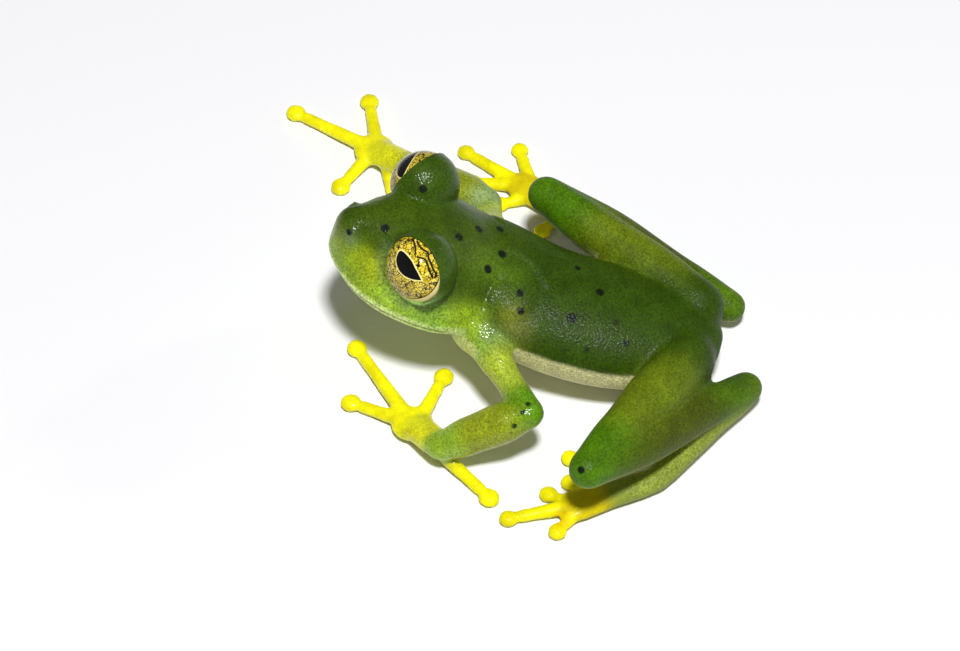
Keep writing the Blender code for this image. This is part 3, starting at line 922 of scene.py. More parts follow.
MARKS_AND_NOSTRIL_SHADE = (
    Mark((385, 228)), Mark((423, 189), 0.24), Mark((459, 237)), Mark((479, 229)),
    Mark((500, 229), 0.24), Mark((502, 254)), Mark((488, 269)), Mark((520, 293), 0.22),
    Mark((521, 311), 0.22), Mark((572, 318), 0.3), Mark((600, 292), 0.26, 0.9),
    Mark((578, 268), 0.24, 0.7), Mark((594, 258), 0.2, 0.4), Mark((616, 322), 0.26, 0.55),
    Mark((626, 343), 0.24, 0.7), Mark((587, 349), 0.22, 0.55), Mark((581, 470), 0.22),
    Mark((605, 456), 0.2, 0.35), Mark((528, 404), 0.2, 0.7), Mark((523, 412), 0.2, 0.7),
    # The last mark, at the near nostril, is painted shade in the nostril's pit, not a spot.
    Mark((514, 426), 0.2, 0.7), Mark((511, 433), 0.16, 0.5), Mark((349, 232), 0.2, 0.9),
)

FOLDS = (
    Fold(((508, 249), (520, 254), (532, 263), (541, 274), (547, 284)), -0.16, 0.2),
    Fold(((499, 279), (491, 286), (486, 296), (483, 308)), 0.14, 0.16, True),
    Fold(((437, 317), (449, 323), (461, 325), (471, 320), (477, 312)), 0.1, 0.16, True),
)


@dataclass(frozen=True)
class SkinFinish:
    """Moist frog skin: thin, finely granular and slightly see-through.

    Light goes a little way in, so that edges and digits glow, and a film of moisture
    gives small clear highlights on the granules.
    """

    ior: float = 1.33
    specular: float = 0.25
    roughness: float = 0.5
    coat: float = 0.4
    coat_roughness: float = 0.12
    glow: float = 0.25
    glow_reach_mm: float = 0.5
    granule_mm: float = 0.17
    granule_height_mm: float = 0.027
    fleck_mm: float = 0.13
    mottle_mm: float = 1.3
    dot_mm: float = 0.27
    spot_and_nostril_shade_colour: str = "#0e1a08"
    dot_colour: str = "#3c5a14"

    def material(self) -> bpy.types.Material:
        """The node material, which reads the colours stored on the skin's vertices."""
        g = Graph("moist_granular_frog_skin")
        place = add_node(g.tree, "ShaderNodeTexCoord").outputs["Object"]
        tone = g.stored("tone", "Color")
        spot, grain, dots, wet = (g.stored(name) for name in ("spot", "grain", "dots", "wet"))
        mottle = g.noise(place, per_metre(self.mottle_mm), 4.0, 0.6)
        fleck = g.noise(place, per_metre(self.fleck_mm), 2.0, 0.7)
        granule = g.cells(place, per_metre(self.granule_mm))
        dot = g.cells(place, per_metre(self.dot_mm))
        light = g.span(mottle, 0.3, 0.7, 0.78, 1.22)
        fine = add_node(g.tree, "ShaderNodeMix", {2: 1.0},
                        {0: grain, 3: g.span(fleck, 0.34, 0.66, 0.62, 1.38)}).outputs[0]
        colour = add_node(g.tree, "ShaderNodeVectorMath", {},
                          {0: tone, "Scale": g.maths("MULTIPLY", light, fine)},
                          operation="SCALE").outputs[0]
        small = g.maths("MULTIPLY", g.span(dot, 0.2, 0.34, 1.0, 0.0), dots)
        colour = g.over(colour, self.dot_colour, small)
        ragged = g.maths("MULTIPLY_ADD", g.maths("SUBTRACT", fleck, 0.5), 0.9, spot)
        # Dark spots, and the painted shade at the near nostril.
        colour = g.over(colour, self.spot_and_nostril_shade_colour, g.span(ragged, 0.3, 0.62, 0.0, 1.0))
        height = g.maths("MULTIPLY_ADD", fleck, 0.5, g.maths("MULTIPLY", granule, -1.0))
        bump = add_node(g.tree, "ShaderNodeBump",
                        {"Strength": 1.0, "Distance": self.granule_height_mm * MM},
                        {"Height": g.maths("MULTIPLY", height, grain)}).outputs[0]
        g.feed(colour, "Base Color")
        g.feed(bump, "Normal", "Coat Normal")
        g.feed(g.span(mottle, 0.3, 0.7, self.roughness - 0.08, self.roughness + 0.12), "Roughness")
        g.feed(g.maths("MULTIPLY", wet, self.coat), "Coat Weight")
        g.hold(IOR=self.ior, Specular_IOR_Level=self.specular, Coat_Roughness=self.coat_roughness,
               Subsurface_Weight=self.glow, Subsurface_Radius=(1.0, 0.9, 0.2),
               Subsurface_Scale=self.glow_reach_mm * MM)
        return g.material


@dataclass(frozen=True)
class Palette:
    """Colours of the skin, each an sRGB hex code."""

    back: str = "#324c04"
    crown: str = "#405802"
    snout: str = "#869a04"
    cheek: str = "#8eb022"
    lip: str = "#eefcae"
    throat: str = "#c4d070"
    belly: str = "#d8d49c"
    eyelid: str = "#385604"
    eye_ring: str = "#789a58"
    shoulder: str = "#84a654"
    arm: str = "#a8ba34"
    elbow: str = "#5c8e0c"
    forearm: str = "#909c18"
    wrist: str = "#8cac28"
    palm: str = "#e0e018"
    digit: str = "#fcf206"
    thigh: str = "#667810"
    knee: str = "#4c7804"
    shank: str = "#485408"
    heel: str = "#4e7008"
    tarsus: str = "#8e9c3c"
    foot: str = "#dac806"
    under: str = "#b4bc64"


@dataclass
class Skin:
    """One skin over the whole body, with lids, lips, nostrils, folds and webs."""

    voxel: float = 0.15
    palette: Palette = field(default_factory=Palette)
    finish: SkinFinish = field(default_factory=SkinFinish)
    joint_rounds: int = 22
    even_rounds: int = 8
    lid_rounds: int = 12
    groove_depth: float = 0.15
    groove_width: float = 0.11
    lip_rise: float = 0.06
    mouth_corner: float = -2.9
    floor_gap: float = 0.0

    def flesh(self) -> bmesh.types.BMesh:
        """All forms of the body in one mesh, overlapping."""
        forms = [*HEAD.forms(), *Torso().forms(), *(eye.dome() for eye in EYES)]
        for limb in (*ARMS, *LEGS):
            lengths = list(limb.lengths().values())
            digits = limb.digits()
            forms += [length.form() for length in lengths] + [digit.form() for digit in digits]
            forms.append(ball(limb.pad, Matrix.Translation(lengths[-1].end)))
            forms += [Web(digits[a], digits[b], (reach_a, reach_b)).form()
                      for a, b, reach_a, reach_b in limb.webs]
        return fused(forms)

    def wrapped(self) -> bmesh.types.BMesh:
        """One closed surface round all the forms."""
        whole = self.flesh()
        mesh = bpy.data.meshes.new("flesh")
        whole.to_mesh(mesh)
        whole.free()
        obj = bpy.data.objects.new("flesh", mesh)
        bpy.context.scene.collection.objects.link(obj)
        change = obj.modifiers.new("wrap", "REMESH")
        change.mode = "VOXEL"
        change.voxel_size = self.voxel
        evaluated = obj.evaluated_get(bpy.context.evaluated_depsgraph_get())
        bm = bmesh.new()
        bm.from_mesh(evaluated.to_mesh())
        bpy.data.objects.remove(obj)
        bpy.data.meshes.remove(mesh)
        return self.largest(bm)

    def largest(self, bm: bmesh.types.BMesh) -> bmesh.types.BMesh:
        """The mesh with only its largest connected piece left."""
        bm.verts.ensure_lookup_table()
        left = set(bm.verts)
        pieces = []
        while left:
            stack = [left.pop()]
            piece = []
            while stack:
                vert = stack.pop()
                piece.append(vert)
                for edge in vert.link_edges:
                    other = edge.other_vert(vert)
                    if other in left:
                        left.remove(other)
                        stack.append(other)
            pieces.append(piece)
        pieces.sort(key=len)
        for piece in pieces[:-1]:
            bmesh.ops.delete(bm, geom=piece, context="VERTS")
        return bm

    def relaxed(self, bm: bmesh.types.BMesh) -> None:
        """Smooth the whole lightly and the joints strongly, as skin stretches over them."""
        points = points_of(bm)
        edges = np.array([(e.verts[0].index, e.verts[1].index) for e in bm.edges])
        count = np.bincount(edges.ravel(), minlength=len(points))[:, None]

        def step(places: Array, amount: Array | float) -> Array:
            """Places moved a share of the way to the mean of their neighbours."""
            total = np.zeros_like(places)
            for axis in range(3):
                total[:, axis] = (
                    np.bincount(edges[:, 0], places[edges[:, 1], axis], minlength=len(places))
                    + np.bincount(edges[:, 1], places[edges[:, 0], axis], minlength=len(places)))
            return places + amount * (total / count - places)

        weight = self.joint_weight(points)[:, None]
        for _ in range(self.joint_rounds):
            points = step(points, 0.5 * weight)
        for _ in range(self.even_rounds):
            points = step(step(points, 0.5), -0.52)
        set_points(bm, points)

    def joint_weight(self, points: Array) -> Array:
        """How strongly each point is smoothed: most at the neck, shoulders, hips and knees."""
        weight = np.zeros(len(points))
        soft = [(HEAD.place(-4.4, s.value * 2.5, -1.5), 3.2) for s in Side]
        soft += [(HEAD.place(-4.4, 0.0, -3.5), 3.4)]
        for arm in ARMS:
            soft += [(Vector(arm.shoulder), 3.0), (Vector(arm.elbow), 1.6),
                     (Vector(arm.wrist), 1.4)]
        for leg in LEGS:
            soft += [(Vector(leg.hip), 3.4), (Vector(leg.knee), 2.0), (Vector(leg.heel), 1.8),
                     (Vector(leg.ankle), 1.3)]
        for centre, radius in soft:
            apart = away_from(points, centre)
            weight = np.maximum(weight, ramp(radius, radius * 0.5, apart))
        eyes = np.min([away_from(points, e.centre()) for e in EYES], axis=0)
        return weight * ramp(2.3, 3.2, eyes)

    def refined(self, bm: bmesh.types.BMesh) -> None:
        """Halve the mesh's edges where small forms follow: mouth, nostrils and lids."""
        points = points_of(bm)
        local = HEAD.local(points)
        near = (np.abs(local[:, 2] - HEAD.mouth_at) < 0.4) & (local[:, 0] > self.mouth_corner - 0.4)
        for side in Side:
            near |= away_from(points, HEAD.nostril_at(side)) < 0.7
        for eye in EYES:
            own = eye.local(points)
            near |= (np.linalg.norm(own, axis=1) < 2.7) & (own[:, 2] > -0.3)
        edges = [e for e in bm.edges if near[e.verts[0].index] and near[e.verts[1].index]]
        bmesh.ops.subdivide_edges(bm, edges=edges, cuts=1, use_grid_fill=True)
        bmesh.ops.triangulate(bm, faces=[f for f in bm.faces if len(f.verts) > 4])
        bm.verts.index_update()

    def sculpted(self, bm: bmesh.types.BMesh) -> None:
        """Press in the mouth line, the nostrils, the ear discs and the folds."""
        points = points_of(bm)
        normals = normals_of(bm)
        local = HEAD.local(points)
        above = local[:, 2] - HEAD.mouth_at
        side_on = ramp(0.9, 0.5, np.abs(normals[:, 2]))
        open_to = ramp(self.mouth_corner, self.mouth_corner + 0.8, local[:, 0]) * side_on
        groove = np.exp(-(above / self.groove_width) ** 2) * self.groove_depth
        lip = np.exp(-((above - 0.28) / 0.16) ** 2) * self.lip_rise
        move = (lip - groove) * open_to
        for side in Side:
            apart = away_from(points, HEAD.nostril_at(side))
            hole = HEAD.nostril_at(side) + (HEAD.matrix().to_3x3()
                                            @ Vector((0.22, side.value * 0.22, 0.08)))
            from_hole = away_from(points, hole)
            move -= 0.3 * np.exp(-(from_hole / 0.13) ** 2) * (apart < 0.7)
            ear = HEAD.place(-2.0, side.value * 4.75, -1.75)
            from_ear = away_from(points, ear)
            move -= 0.05 * np.exp(-((from_ear - 0.45) / 0.1) ** 2)
        tree = BVHTree.FromBMesh(bm)
        for fold in FOLDS:
            for line in self.lines(fold, tree):
                move -= fold.depth * np.exp(-(from_line(points, line) / fold.width) ** 2)
        set_points(bm, points + normals * move[:, None])

    def lines(self, fold: Fold, tree: BVHTree) -> list[Array]:
        """A fold's line on the skin, and its mirror image on the other side of the head."""
        line = np.array([VIEW.hit(pixel, tree) for pixel in fold.pixels])
        if not fold.mirrored:
            return [line]
        other = []
        for forward, left, up in HEAD.local(line):
            other.append(tree.find_nearest(HEAD.place(forward, -left, up))[0])
        return [line, np.array(other)]

    def lidded(self, bm: bmesh.types.BMesh, eye: Eye) -> None:
        """Open the skin over an eye, with a rounded rim that turns in round the eyeball."""
        matrix = eye.lid_frame()
        inverse = matrix.inverted()
        centre = eye.centre()
        reach, depth = 2.9, -0.6
        near = []
        for face in bm.faces:
            middle = face.calc_center_median()
            if (middle - centre).length < reach and (inverse @ middle).z > depth:
                near.append(face)
        geom = set(near)
        for face in near:
            geom.update(face.edges)
            geom.update(face.verts)
        bmesh.ops.bisect_plane(bm, geom=list(geom), dist=0.02, plane_no=matrix.col[2].to_3d(),
                               plane_co=matrix @ Vector((0, 0, eye.lid_height)))
        cap = []
        for face in bm.faces:
            middle = face.calc_center_median()
            if (middle - centre).length < reach and (inverse @ middle).z > eye.lid_height:
                cap.append(face)
        bmesh.ops.delete(bm, geom=cap, context="FACES")
        rim = [e for e in bm.edges if e.is_boundary]
        edge_radius = math.sqrt(eye.dome_radius ** 2 - eye.lid_height ** 2)
        profile = (
            (edge_radius - 0.02, eye.lid_height), (edge_radius, eye.lid_height + 0.06),
            (edge_radius - 0.03, eye.lid_height + 0.11), (edge_radius - 0.08, eye.lid_height + 0.12),
            (edge_radius - 0.13, eye.lid_height + 0.08), (edge_radius - 0.16, eye.lid_height),
            (1.975, eye.lid_height - 0.12), (1.9, eye.lid_height - 0.5), (1.5, eye.lid_height - 1.1),
        )
        rim_verts = {v for e in rim for v in e.verts}
        self.ring_at(rim_verts, matrix, *profile[0])
        around = [v for v in bm.verts if v not in rim_verts and (v.co - centre).length < reach
                  and (inverse @ v.co).z > eye.lid_height - 0.9]
        for _ in range(self.lid_rounds):
            bmesh.ops.smooth_vert(bm, verts=around, factor=0.5, use_axis_x=True,
                                  use_axis_y=True, use_axis_z=True)
        for radius, height in profile[1:]:
            rim_verts, rim = extruded(bm, rim)
            self.ring_at(rim_verts, matrix, radius, height)
        bmesh.ops.holes_fill(bm, edges=rim, sides=0)
        bm.verts.index_update()

    def ring_at(self, verts: set, matrix: Matrix, radius: float, height: float) -> None:
        """Set vertices on a circle round the third axis of a frame."""
        inverse = matrix.inverted()
        for vert in verts:
            own = inverse @ vert.co
            angle = math.atan2(own.y, own.x)
            vert.co = matrix @ Vector((radius * math.cos(angle), radius * math.sin(angle), height))

    def grounded(self, bm: bmesh.types.BMesh) -> None:
        """Press flat on the floor whatever dips below it."""
        for vert in bm.verts:
            vert.co.z = max(vert.co.z, self.floor_gap)

    def build(self) -> bpy.types.Object:
        """The finished skin."""
        bm = self.wrapped()
        self.relaxed(bm)
        self.refined(bm)
        self.sculpted(bm)
        for eye in EYES:
            self.lidded(bm, eye)
        self.grounded(bm)
        bmesh.ops.triangulate(bm, faces=[f for f in bm.faces if len(f.verts) > 4])
        face_out(bm)
        points = points_of(bm)
        normals = normals_of(bm)
        tree = BVHTree.FromBMesh(bm)
        paint = SkinPaint(self.palette, points, normals, tree)
        obj = finished(bm, "skin", self.finish.material())
        write_attribute(obj.data, "tone", "FLOAT_COLOR", paint.tone())
        for name, values in (("spot", paint.spots_and_nostril_shade()), ("grain", paint.grain()),
                             ("dots", paint.dots()), ("wet", paint.wet())):
            write_attribute(obj.data, name, "FLOAT", values)
        nodes = ["head", "lower_jaw", "torso"]
        for limb in (*ARMS, *LEGS):
            nodes += limb.nodes()
        return settle(obj, Slot.GREEN, *nodes)


@dataclass
class SkinPaint:
    """The colours of the skin at each of its vertices."""

    palette: Palette
    points: Array
    normals: Array
    tree: BVHTree
    sharpness: float = 7.0
    patches: tuple[Patch, ...] = (
        Patch((372, 270), 1.0, "#bcc61c", 0.5, True),
        Patch((360, 262), 0.9, "#96a81a", 0.5, True),
        Patch((392, 292), 0.9, "#a9cc48", 0.6, True),
        Patch((430, 318), 1.4, "#93c244", 0.6, True),
        Patch((463, 318), 1.0, "#a6c020", 0.6, True),
        Patch((350, 240), 0.5, "#6f8f5a", 0.6, True),
        Patch((480, 262), 1.4, "#5c7a14", 0.5),
        Patch((505, 275), 1.2, "#5f8018", 0.5),
        Patch((512, 316), 0.8, "#a8b034", 0.4),
        Patch((520, 330), 0.8, "#8a8a4a", 0.4),
        Patch((482, 195), 0.9, "#b4c488", 0.7),
        Patch((562, 521), 0.6, "#e0a404", 0.5),
    )

    def __post_init__(self) -> None:
        """Work out what several of the maps share."""
        self.local = HEAD.local(self.points)
        self.limbs = self.limb_rows()

    def limb_rows(self) -> list[tuple[str, Array, float]]:
        """Each length of limb and digit as its name, its line and its thickness."""
        rows = []
        for limb in (*ARMS, *LEGS):
            for name, length in limb.lengths().items():
                rows.append((name, length.line(), length.thickness()))
            rows += [("digit", digit.line(), 0.42) for digit in limb.digits()]
        return rows

    def colour(self, code: str) -> Array:
        """A hex colour as a linear row."""
        return np.array(linear(code)[:3])

    def blend(self, base: Array, code: str, share: Array) -> Array:
        """Colours moved towards another by a share for each vertex."""
        share = np.clip(share, 0, 1)[:, None]
        return base * (1 - share) + self.colour(code) * share

    def tone(self) -> Array:
        """The skin's colour at each vertex, with an alpha of one."""
        p = self.palette
        total = np.zeros((len(self.points), 3))
        weights = np.zeros(len(self.points))
        rows = [("back", Torso().axis(), 3.3),
                ("crown", np.array([HEAD.place(-4.0, 0, -2.0), HEAD.place(3.4, 0, -2.0)]), 3.2)]
        for name, line, thickness in rows + self.limbs:
            apart = from_line(self.points, line)
            weight = (thickness / np.maximum(apart, 0.05)) ** self.sharpness
            code = getattr(p, {"upper_arm": "arm", "hand": "palm"}.get(name, name))
            total += weight[:, None] * self.limb_colour(name, code, line)
            weights += weight
        colours = total / weights[:, None]
        colours = self.head_colours(colours)
        colours = self.under_colours(colours)
        for patch in self.patches:
            for centre in self.centres(patch):
                apart = away_from(self.points, centre)
                colours = self.blend(colours, patch.colour,
                                     patch.strength * np.exp(-(apart / patch.radius) ** 2))
        return np.hstack([colours, np.ones((len(colours), 1))])

    def limb_colour(self, name: str, code: str, line: Array) -> Array:
        """The colour along one length of limb, joint to joint."""
        p = self.palette
        base = np.tile(self.colour(code), (len(self.points), 1))
        if name in ("back", "crown"):
            return base
        along = line[1] - line[0]
        t = (self.points - line[0]) @ along / (along @ along)
        ends = {
            "upper_arm": (p.shoulder, 0.45, p.elbow, 0.9),
            "forearm": (p.elbow, 0.12, p.wrist, 0.85),
            "hand": (p.wrist, 0.3, p.digit, 1.1),
            "thigh": (p.back, 0.2, p.knee, 0.85),
            "shank": (p.knee, 0.15, p.heel, 0.9),
            "tarsus": (p.heel, 0.12, p.tarsus, 1.1),
            "foot": (p.tarsus, 0.75, p.foot, 1.0),
            "digit": (p.foot, 0.1, p.digit, 0.35),
        }
        start_code, start_end, end_code, end_start = ends[name]
        base = self.blend(base, start_code, ramp(start_end, start_end - 0.25, t))
        return self.blend(base, end_code, ramp(end_start - 0.25, end_start, t))

    def head_colours(self, colours: Array) -> Array:
        """Snout, cheeks, lips and the skin round the eyes."""
        p = self.palette
        forward, left, up = self.local.T
        in_head = (ramp(-5.4, -4.0, forward) * ramp(6.5, 5.5, np.abs(left))
                   * ramp(-7.0, -6.2, up))
        low = ramp(-0.3, -1.8, up)
        colours = self.blend(colours, p.snout, in_head * low * ramp(-2.5, 1.5, forward) * 0.85)
        colours = self.blend(colours, p.cheek, in_head * ramp(-1.4, -2.6, up) * 0.85)
        for eye in EYES:
            apart = away_from(self.points, eye.centre())
            own = eye.local(self.points)
            dome = ramp(2.7, 2.3, apart)
            colours = self.blend(colours, p.eyelid, dome * 0.7)
            rim = ramp(2.6, 2.2, apart) * ramp(-0.5, 0.4, own[:, 2])
            low_rim = rim * ramp(0.6, -0.8, own[:, 1])
            colours = self.blend(colours, p.eye_ring, low_rim * 0.8)
        above = up - HEAD.mouth_at
        lip = ramp(0.6, 0.2, above) * ramp(-4.0, -3.0, forward) * ramp(5.6, 5.2, np.abs(left))
        return self.blend(colours, p.lip, in_head * lip * 0.85)

    def under_colours(self, colours: Array) -> Array:
        """Cream belly and throat, and paler undersides of the limbs."""
        p = self.palette
        down = -self.normals[:, 2]
        torso_apart = from_line(self.points, Torso().axis()) / 3.9
        limb_apart = np.min([from_line(self.points, line) / size
                             for _, line, size in self.limbs], axis=0)
        on_torso = ramp(-0.25, 0.25, limb_apart * 1.1 - torso_apart)
        forward, left, up = self.local.T
        flank = ramp(-4.2, -5.6, forward) * ramp(7.5, 5.0, self.points[:, 1])
        low = np.maximum(flank * ramp(-0.32, -0.12, down), ramp(0.12, 0.42, down))
        colours = self.blend(colours, p.belly, on_torso * low * ramp(-3.6, -4.6, forward))
        colours = self.blend(colours, p.under, (1 - on_torso) * ramp(0.1, 0.7, down) * 0.6)
        throat = ramp(-3.45, -3.75, up) * ramp(-7.0, -6.2, up) * ramp(-6.0, -4.5, forward)
        return self.blend(colours, p.throat, throat * ramp(6.0, 5.4, np.abs(left)))

    def centres(self, patch: Patch) -> list[Array]:
        """The places of a patch on the skin."""
        middle = VIEW.hit(patch.pixel, self.tree)
        if not patch.mirrored:
            return [np.array(middle)]
        forward, left, up = HEAD.local(np.array([middle]))[0]
        return [np.array(middle), np.array(self.tree.find_nearest(HEAD.place(forward, -left, up))[0])]

    def spots_and_nostril_shade(self) -> Array:
        """How far inside a dark spot, or the painted shade at the near nostril, each vertex lies, from
        0 to 1.
        """
        value = np.zeros(len(self.points))
        for mark in MARKS_AND_NOSTRIL_SHADE:
            apart = away_from(self.points, VIEW.hit(mark.pixel, self.tree))
            value = np.maximum(value, mark.strength * ramp(mark.radius * 1.7, mark.radius * 0.3, apart))
        return value

    def grain(self) -> Array:
        """How granular the skin is: less on digits and belly."""
        digits = [from_line(self.points, line) for name, line, _ in self.limbs if name == "digit"]
        away = ramp(0.6, 1.6, np.min(digits, axis=0))
        belly = ramp(0.6, 0.1, -self.normals[:, 2])
        return 0.15 + 0.85 * away * belly

    def wet(self) -> Array:
        """How wet the skin looks: most on the head and the arms, least on the trunk."""
        head = ramp(-5.5, -3.5, self.local[:, 0])
        arms = np.min([from_line(self.points, length.line()) for arm in ARMS
                       for length in arm.lengths().values()], axis=0)
        return 0.12 + 0.88 * np.maximum(head, 1.5 * ramp(2.2, 1.2, arms))

    def dots(self) -> Array:
        """Where the pale cheek and lip carry small dark dots."""
        forward, left, up = self.local.T
        cheek = ramp(-1.2, -2.2, up) * ramp(-4.8, -3.6, forward) * ramp(-3.6, -3.2, up)
        return cheek * ramp(6.0, 5.5, np.abs(left)) * 0.45


@dataclass(frozen=True)
class IrisFinish:
    """Golden iris: a matt film with a metal-like gleam, under a net of black veins, with a painted
    highlight round the pupil.
    """

    gold: str = "#dec42e"
    pale_gold: str = "#f0de66"
    deep_gold: str = "#9c861e"
    vein: str = "#1a1204"
    pupil: str = "#050506"
    # Pale ring round the pupil: a painted highlight on the pupil's edge.
    rim: str = "#f6e9a0"
    ring: str = "#2a1c08"
    white: str = "#e8d894"
    roughness: float = 0.45
    net_mm: float = 0.15
    mottle_mm: float = 0.5

    def material(self) -> bpy.types.Material:
        """The node material, which reads the eye's own coordinates and fields."""
        g = Graph("golden_veined_iris")
        place = g.stored("iris_mm", "Vector")
        pupil, heavy, outward = (g.stored(name) for name in ("pupil", "vein", "outward"))
        offset = add_node(g.tree, "ShaderNodeVectorMath", {1: (0.5, 0.5, 0.5)},
                          {0: g.noise(place, 5.0, 2.0, output="Color")},
                          operation="SUBTRACT").outputs[0]
        bent = add_node(g.tree, "ShaderNodeVectorMath", {1: (0.16, 0.16, 0.0)},
                        {0: offset, 2: place}, operation="MULTIPLY_ADD").outputs[0]
        net = g.cells(bent, 1 / self.net_mm, "DISTANCE_TO_EDGE")
        width = g.span(g.noise(place, 3.2, 2.0), 0.35, 0.62, 0.035, 0.15)
        lines = g.span(g.maths("DIVIDE", net, width), 0.55, 1.1, 1.0, 0.0)
        mix = add_node(g.tree, "ShaderNodeValToRGB", {},
                       {0: g.noise(place, 1 / self.mottle_mm, 5.0, 0.65)})
        stops = mix.color_ramp.elements
        stops[0].position, stops[0].color = 0.32, linear(self.deep_gold)
        stops[1].position, stops[1].color = 0.7, linear(self.pale_gold)
        stops.new(0.5).color = linear(self.gold)
        colour = g.over(mix.outputs[0], self.vein, lines)
        layers = (
            # The pale ring round the pupil is a painted highlight.
            (self.vein, heavy, 0.036, 0.062, 1.0, 0.0), (self.rim, pupil, 0.05, 0.075, 1.0, 0.0),
            (self.pupil, pupil, -0.01, 0.01, 1.0, 0.0), (self.ring, outward, 1.64, 1.67, 0.0, 1.0),
            (self.white, outward, 1.7, 1.73, 0.0, 1.0),
        )
        for code, source, *limits in layers:
            colour = g.over(colour, code, g.span(source, *limits))
        g.feed(colour, "Base Color")
        g.hold(Roughness=self.roughness, Specular_IOR_Level=0.1)
        return g.material


@dataclass(frozen=True)
class CorneaFinish:
    """The clear, wet outer layer of the eye, which mirrors the lamps.

    It lets lamps through unbent, so that the iris under it is lit.
    """

    ior: float = 1.45
    roughness: float = 0.06

    def material(self) -> bpy.types.Material:
        """Clear glass-like tissue with a passage for light from lamps."""
        g = Graph("clear_wet_cornea")
        g.hold(Base_Color=(1.0, 1.0, 1.0, 1.0), Roughness=self.roughness, IOR=self.ior,
               Transmission_Weight=1.0)
        through = add_node(g.tree, "ShaderNodeBsdfTransparent").outputs[0]
        lamps = add_node(g.tree, "ShaderNodeLightPath").outputs["Is Shadow Ray"]
        mixed = add_node(g.tree, "ShaderNodeMixShader", {},
                         {0: lamps, 1: g.shader.outputs[0], 2: through}).outputs[0]
        g.tree.links.new(mixed, g.tree.nodes["Material Output"].inputs["Surface"])
        return g.material


@dataclass
class Eyeball:
    """The parts of one eye: the iris with the ball behind it, and the clear outer layer."""

    eye: Eye
    pupil_shift: Pixel = (0.0, 0.0)
    pupil: tuple[Pixel, ...] = (
        (-1.09, 0.42), (-0.75, 0.21), (-0.43, 0.09), (-0.15, 0.03), (0.15, 0.03), (0.41, 0.09),
        (0.67, 0.21), (0.84, 0.38), (0.93, 0.61), (0.8, 0.76), (0.55, 0.86), (0.22, 0.91),
        (-0.12, 0.89), (-0.68, 0.68), (-1.09, 0.42))
    veins: tuple[tuple[Pixel, ...], ...] = (
        ((0.68, 1.61), (0.24, 1.62), (0.0, 1.66), (-0.15, 1.69), (-0.3, 1.72), (-0.52, 1.57),
         (-0.84, 1.43), (-1.25, 1.19), (-1.45, 1.09), (-1.5, 0.88)),
        ((1.03, 1.43), (0.67, 1.47), (0.33, 1.38), (0.11, 1.24)),
        ((-0.1, 1.23), (-0.54, 1.4), (-1.19, 1.0), (-1.41, 0.84)))
    ring_centre: Pixel = (-0.1, 0.35)

    def matrix(self) -> Matrix:
        """From the eye's own frame to the design frame."""
        matrix = Matrix(self.eye.axes()).transposed().to_4x4()
        matrix.translation = self.eye.centre()
        return matrix

    def turned(self, profile: list[Pixel]) -> bmesh.types.BMesh:
        """A closed body turned about the gaze, from (radius, height) points."""
        matrix = self.matrix()
        turns = [2 * math.pi * i / self.eye.sides for i in range(self.eye.sides)]
        rings = [[matrix @ Vector((r * math.cos(a), r * math.sin(a), h)) for a in turns]
                 for r, h in profile]
        return skin_rings(rings)

    def pupil_field(self, flat: Array) -> Array:
        """How far outside the pupil's edge each point of the iris lies, in millimetres."""
        over, up = self.pupil_shift
        line = np.array([(x + over, y + up, 0.0) for x, y in smooth_rows(self.pupil, 5)])
        inside = np.zeros(len(flat), dtype=bool)
        for (x0, y0, _), (x1, y1, _) in zip(line, line[1:]):
            crosses = (y0 > flat[:, 1]) != (y1 > flat[:, 1])
            if y1 != y0:
                inside ^= crosses & (flat[:, 0] < x0 + (flat[:, 1] - y0) * (x1 - x0) / (y1 - y0))
        apart = from_line(flat, line)
        return np.where(inside, -apart, apart)

    def iris(self, material: bpy.types.Material) -> bpy.types.Object:
        """The iris, a low dome, closed behind by the rest of the ball."""
        eye = self.eye
        profile = []
        pole = 0.004
        for i in range(eye.rings + 1):
            share = pole + (1 - pole) * i / eye.rings
            profile.append((eye.iris_radius * share,
                            eye.iris_height + eye.iris_rise * (1 - share ** 2)))
        edge = math.acos(eye.iris_height / eye.body_radius)
        for i in range(1, 25):
            angle = edge + (math.pi - pole - edge) * i / 24
            profile.append((eye.body_radius * math.sin(angle), eye.body_radius * math.cos(angle)))
        bm = self.turned(profile)
        own = eye.local(points_of(bm))
        flat = own.copy()
        flat[:, 2] = 0
        lines = [np.array([(x, y, 0.0) for x, y in smooth_rows(vein, 4)]) for vein in self.veins]
        vein = np.min([from_line(flat, line) for line in lines], axis=0)
        from_ring = np.hypot(flat[:, 0] - self.ring_centre[0], flat[:, 1] - self.ring_centre[1])
        from_ring -= 0.3 * ramp(0.3, 1.3, (flat[:, 0] + flat[:, 1]) / math.sqrt(2))
        obj = finished(bm, f"{eye.side.word}_iris", material)
        write_attribute(obj.data, "iris_mm", "FLOAT_VECTOR", flat)
        write_attribute(obj.data, "pupil", "FLOAT", self.pupil_field(flat))
        write_attribute(obj.data, "vein", "FLOAT", vein)
        write_attribute(obj.data, "outward", "FLOAT",
                        np.where(own[:, 2] > eye.iris_height - 0.01,
                                 from_ring, 2.5))
        return settle(obj, Slot.EYE, f"{eye.side.word}_eye")

    def cornea(self, material: bpy.types.Material) -> bpy.types.Object:
        """The clear ball round it all."""
        bm = bmesh.new()
        bmesh.ops.create_uvsphere(bm, u_segments=96, v_segments=64, radius=self.eye.radius)
        bm.transform(self.matrix())
        face_out(bm)
        return settle(finished(bm, f"{self.eye.side.word}_cornea", material), Slot.EYE)


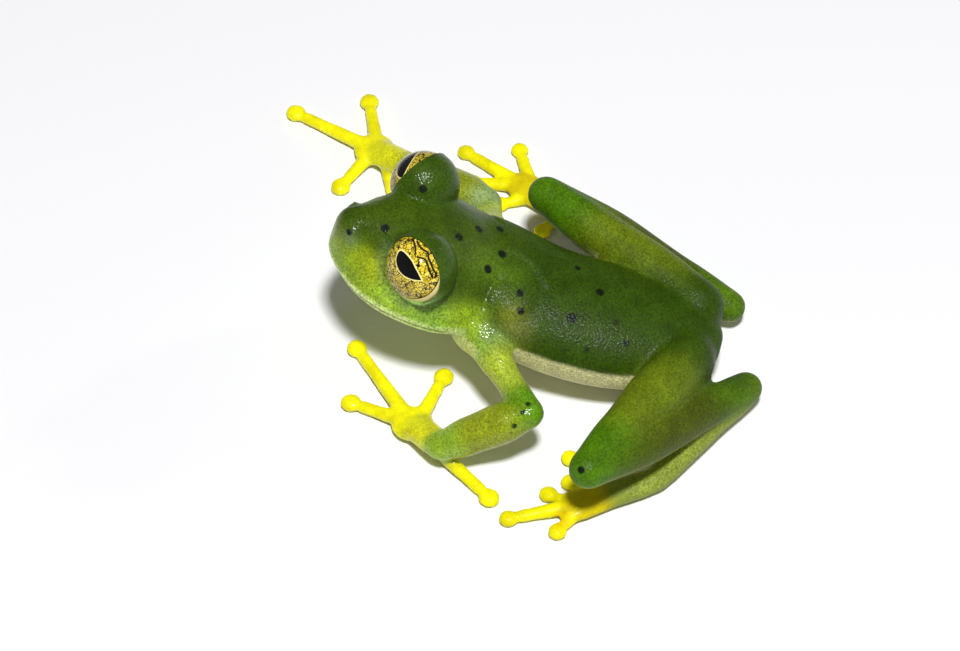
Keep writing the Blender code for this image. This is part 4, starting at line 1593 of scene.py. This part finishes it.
@dataclass
class Studio:
    """A pale floor, soft light from above and the camera."""

    floor_radius: float = 1.5
    floor_colour: str = "#f9f9fc"
    lens: float = 155.6
    sensor: float = 36.0
    key_from: Place = (0.146, 0.05, 0.423)
    key_size: float = 0.05
    key_power: float = 1.95
    rim_from: Place = (-0.21, 0.33, 0.22)
    rim_size: float = 0.03
    rim_power: float = 0.1
    sky: float = 0.11

    def floor(self) -> None:
        """A round, matt, pale floor."""
        bm = bmesh.new()
        bmesh.ops.create_circle(bm, cap_ends=True, segments=96, radius=self.floor_radius)
        mesh = bpy.data.meshes.new("floor")
        bm.to_mesh(mesh)
        bm.free()
        card = Graph("matt_white_card")
        card.hold(Base_Color=linear(self.floor_colour), Roughness=0.9, Specular_IOR_Level=0.2)
        mesh.materials.append(card.material)
        obj = bpy.data.objects.new("floor", mesh)
        bpy.context.scene.collection.objects.link(obj)

    def lamp(self, name: str, place: Place, size: float, power: float) -> None:
        """A square soft light that faces the frog."""
        light = bpy.data.lights.new(name, "AREA")
        light.size = size
        light.energy = power
        obj = bpy.data.objects.new(name, light)
        obj.location = place
        obj.rotation_euler = Vector(place).to_track_quat("Z", "Y").to_euler()
        bpy.context.scene.collection.objects.link(obj)

    def camera(self) -> None:
        """The photograph's view."""
        data = bpy.data.cameras.new("camera")
        data.lens = self.lens
        data.sensor_width = self.sensor
        data.clip_start = 0.01
        obj = bpy.data.objects.new("camera", data)
        obj.location = (VIEW.position() + SHIFT) * MM
        right, up, back = VIEW.axes()
        obj.rotation_euler = Matrix((right, up, back)).transposed().to_euler()
        bpy.context.scene.collection.objects.link(obj)
        bpy.context.scene.camera = obj

    def build(self) -> None:
        """Set up floor, lights, sky and camera."""
        self.floor()
        self.lamp("key", self.key_from, self.key_size, self.key_power)
        self.lamp("rim", self.rim_from, self.rim_size, self.rim_power)
        world = bpy.data.worlds.new("studio")
        world.use_nodes = True
        world.node_tree.nodes["Background"].inputs["Color"].default_value = (1, 1, 1, 1)
        world.node_tree.nodes["Background"].inputs["Strength"].default_value = self.sky
        bpy.context.scene.world = world
        bpy.context.scene.view_settings.view_transform = "Standard"
        self.camera()


def main() -> None:
    """Build the frog and its studio."""
    logging.basicConfig(level=logging.INFO, format="%(name)s: %(message)s")
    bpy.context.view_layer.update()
    LOG.info("shift from the design frame: %s mm", [round(v, 3) for v in SHIFT])
    Skin().build()
    iris, cornea = IrisFinish().material(), CorneaFinish().material()
    for eye, shift in zip(EYES, ((0.0, 0.0), (0.3, -0.1))):
        ball_of_eye = Eyeball(eye, shift)
        ball_of_eye.iris(iris)
        ball_of_eye.cornea(cornea)
    Studio().build()


if __name__ == "__main__":
    main()
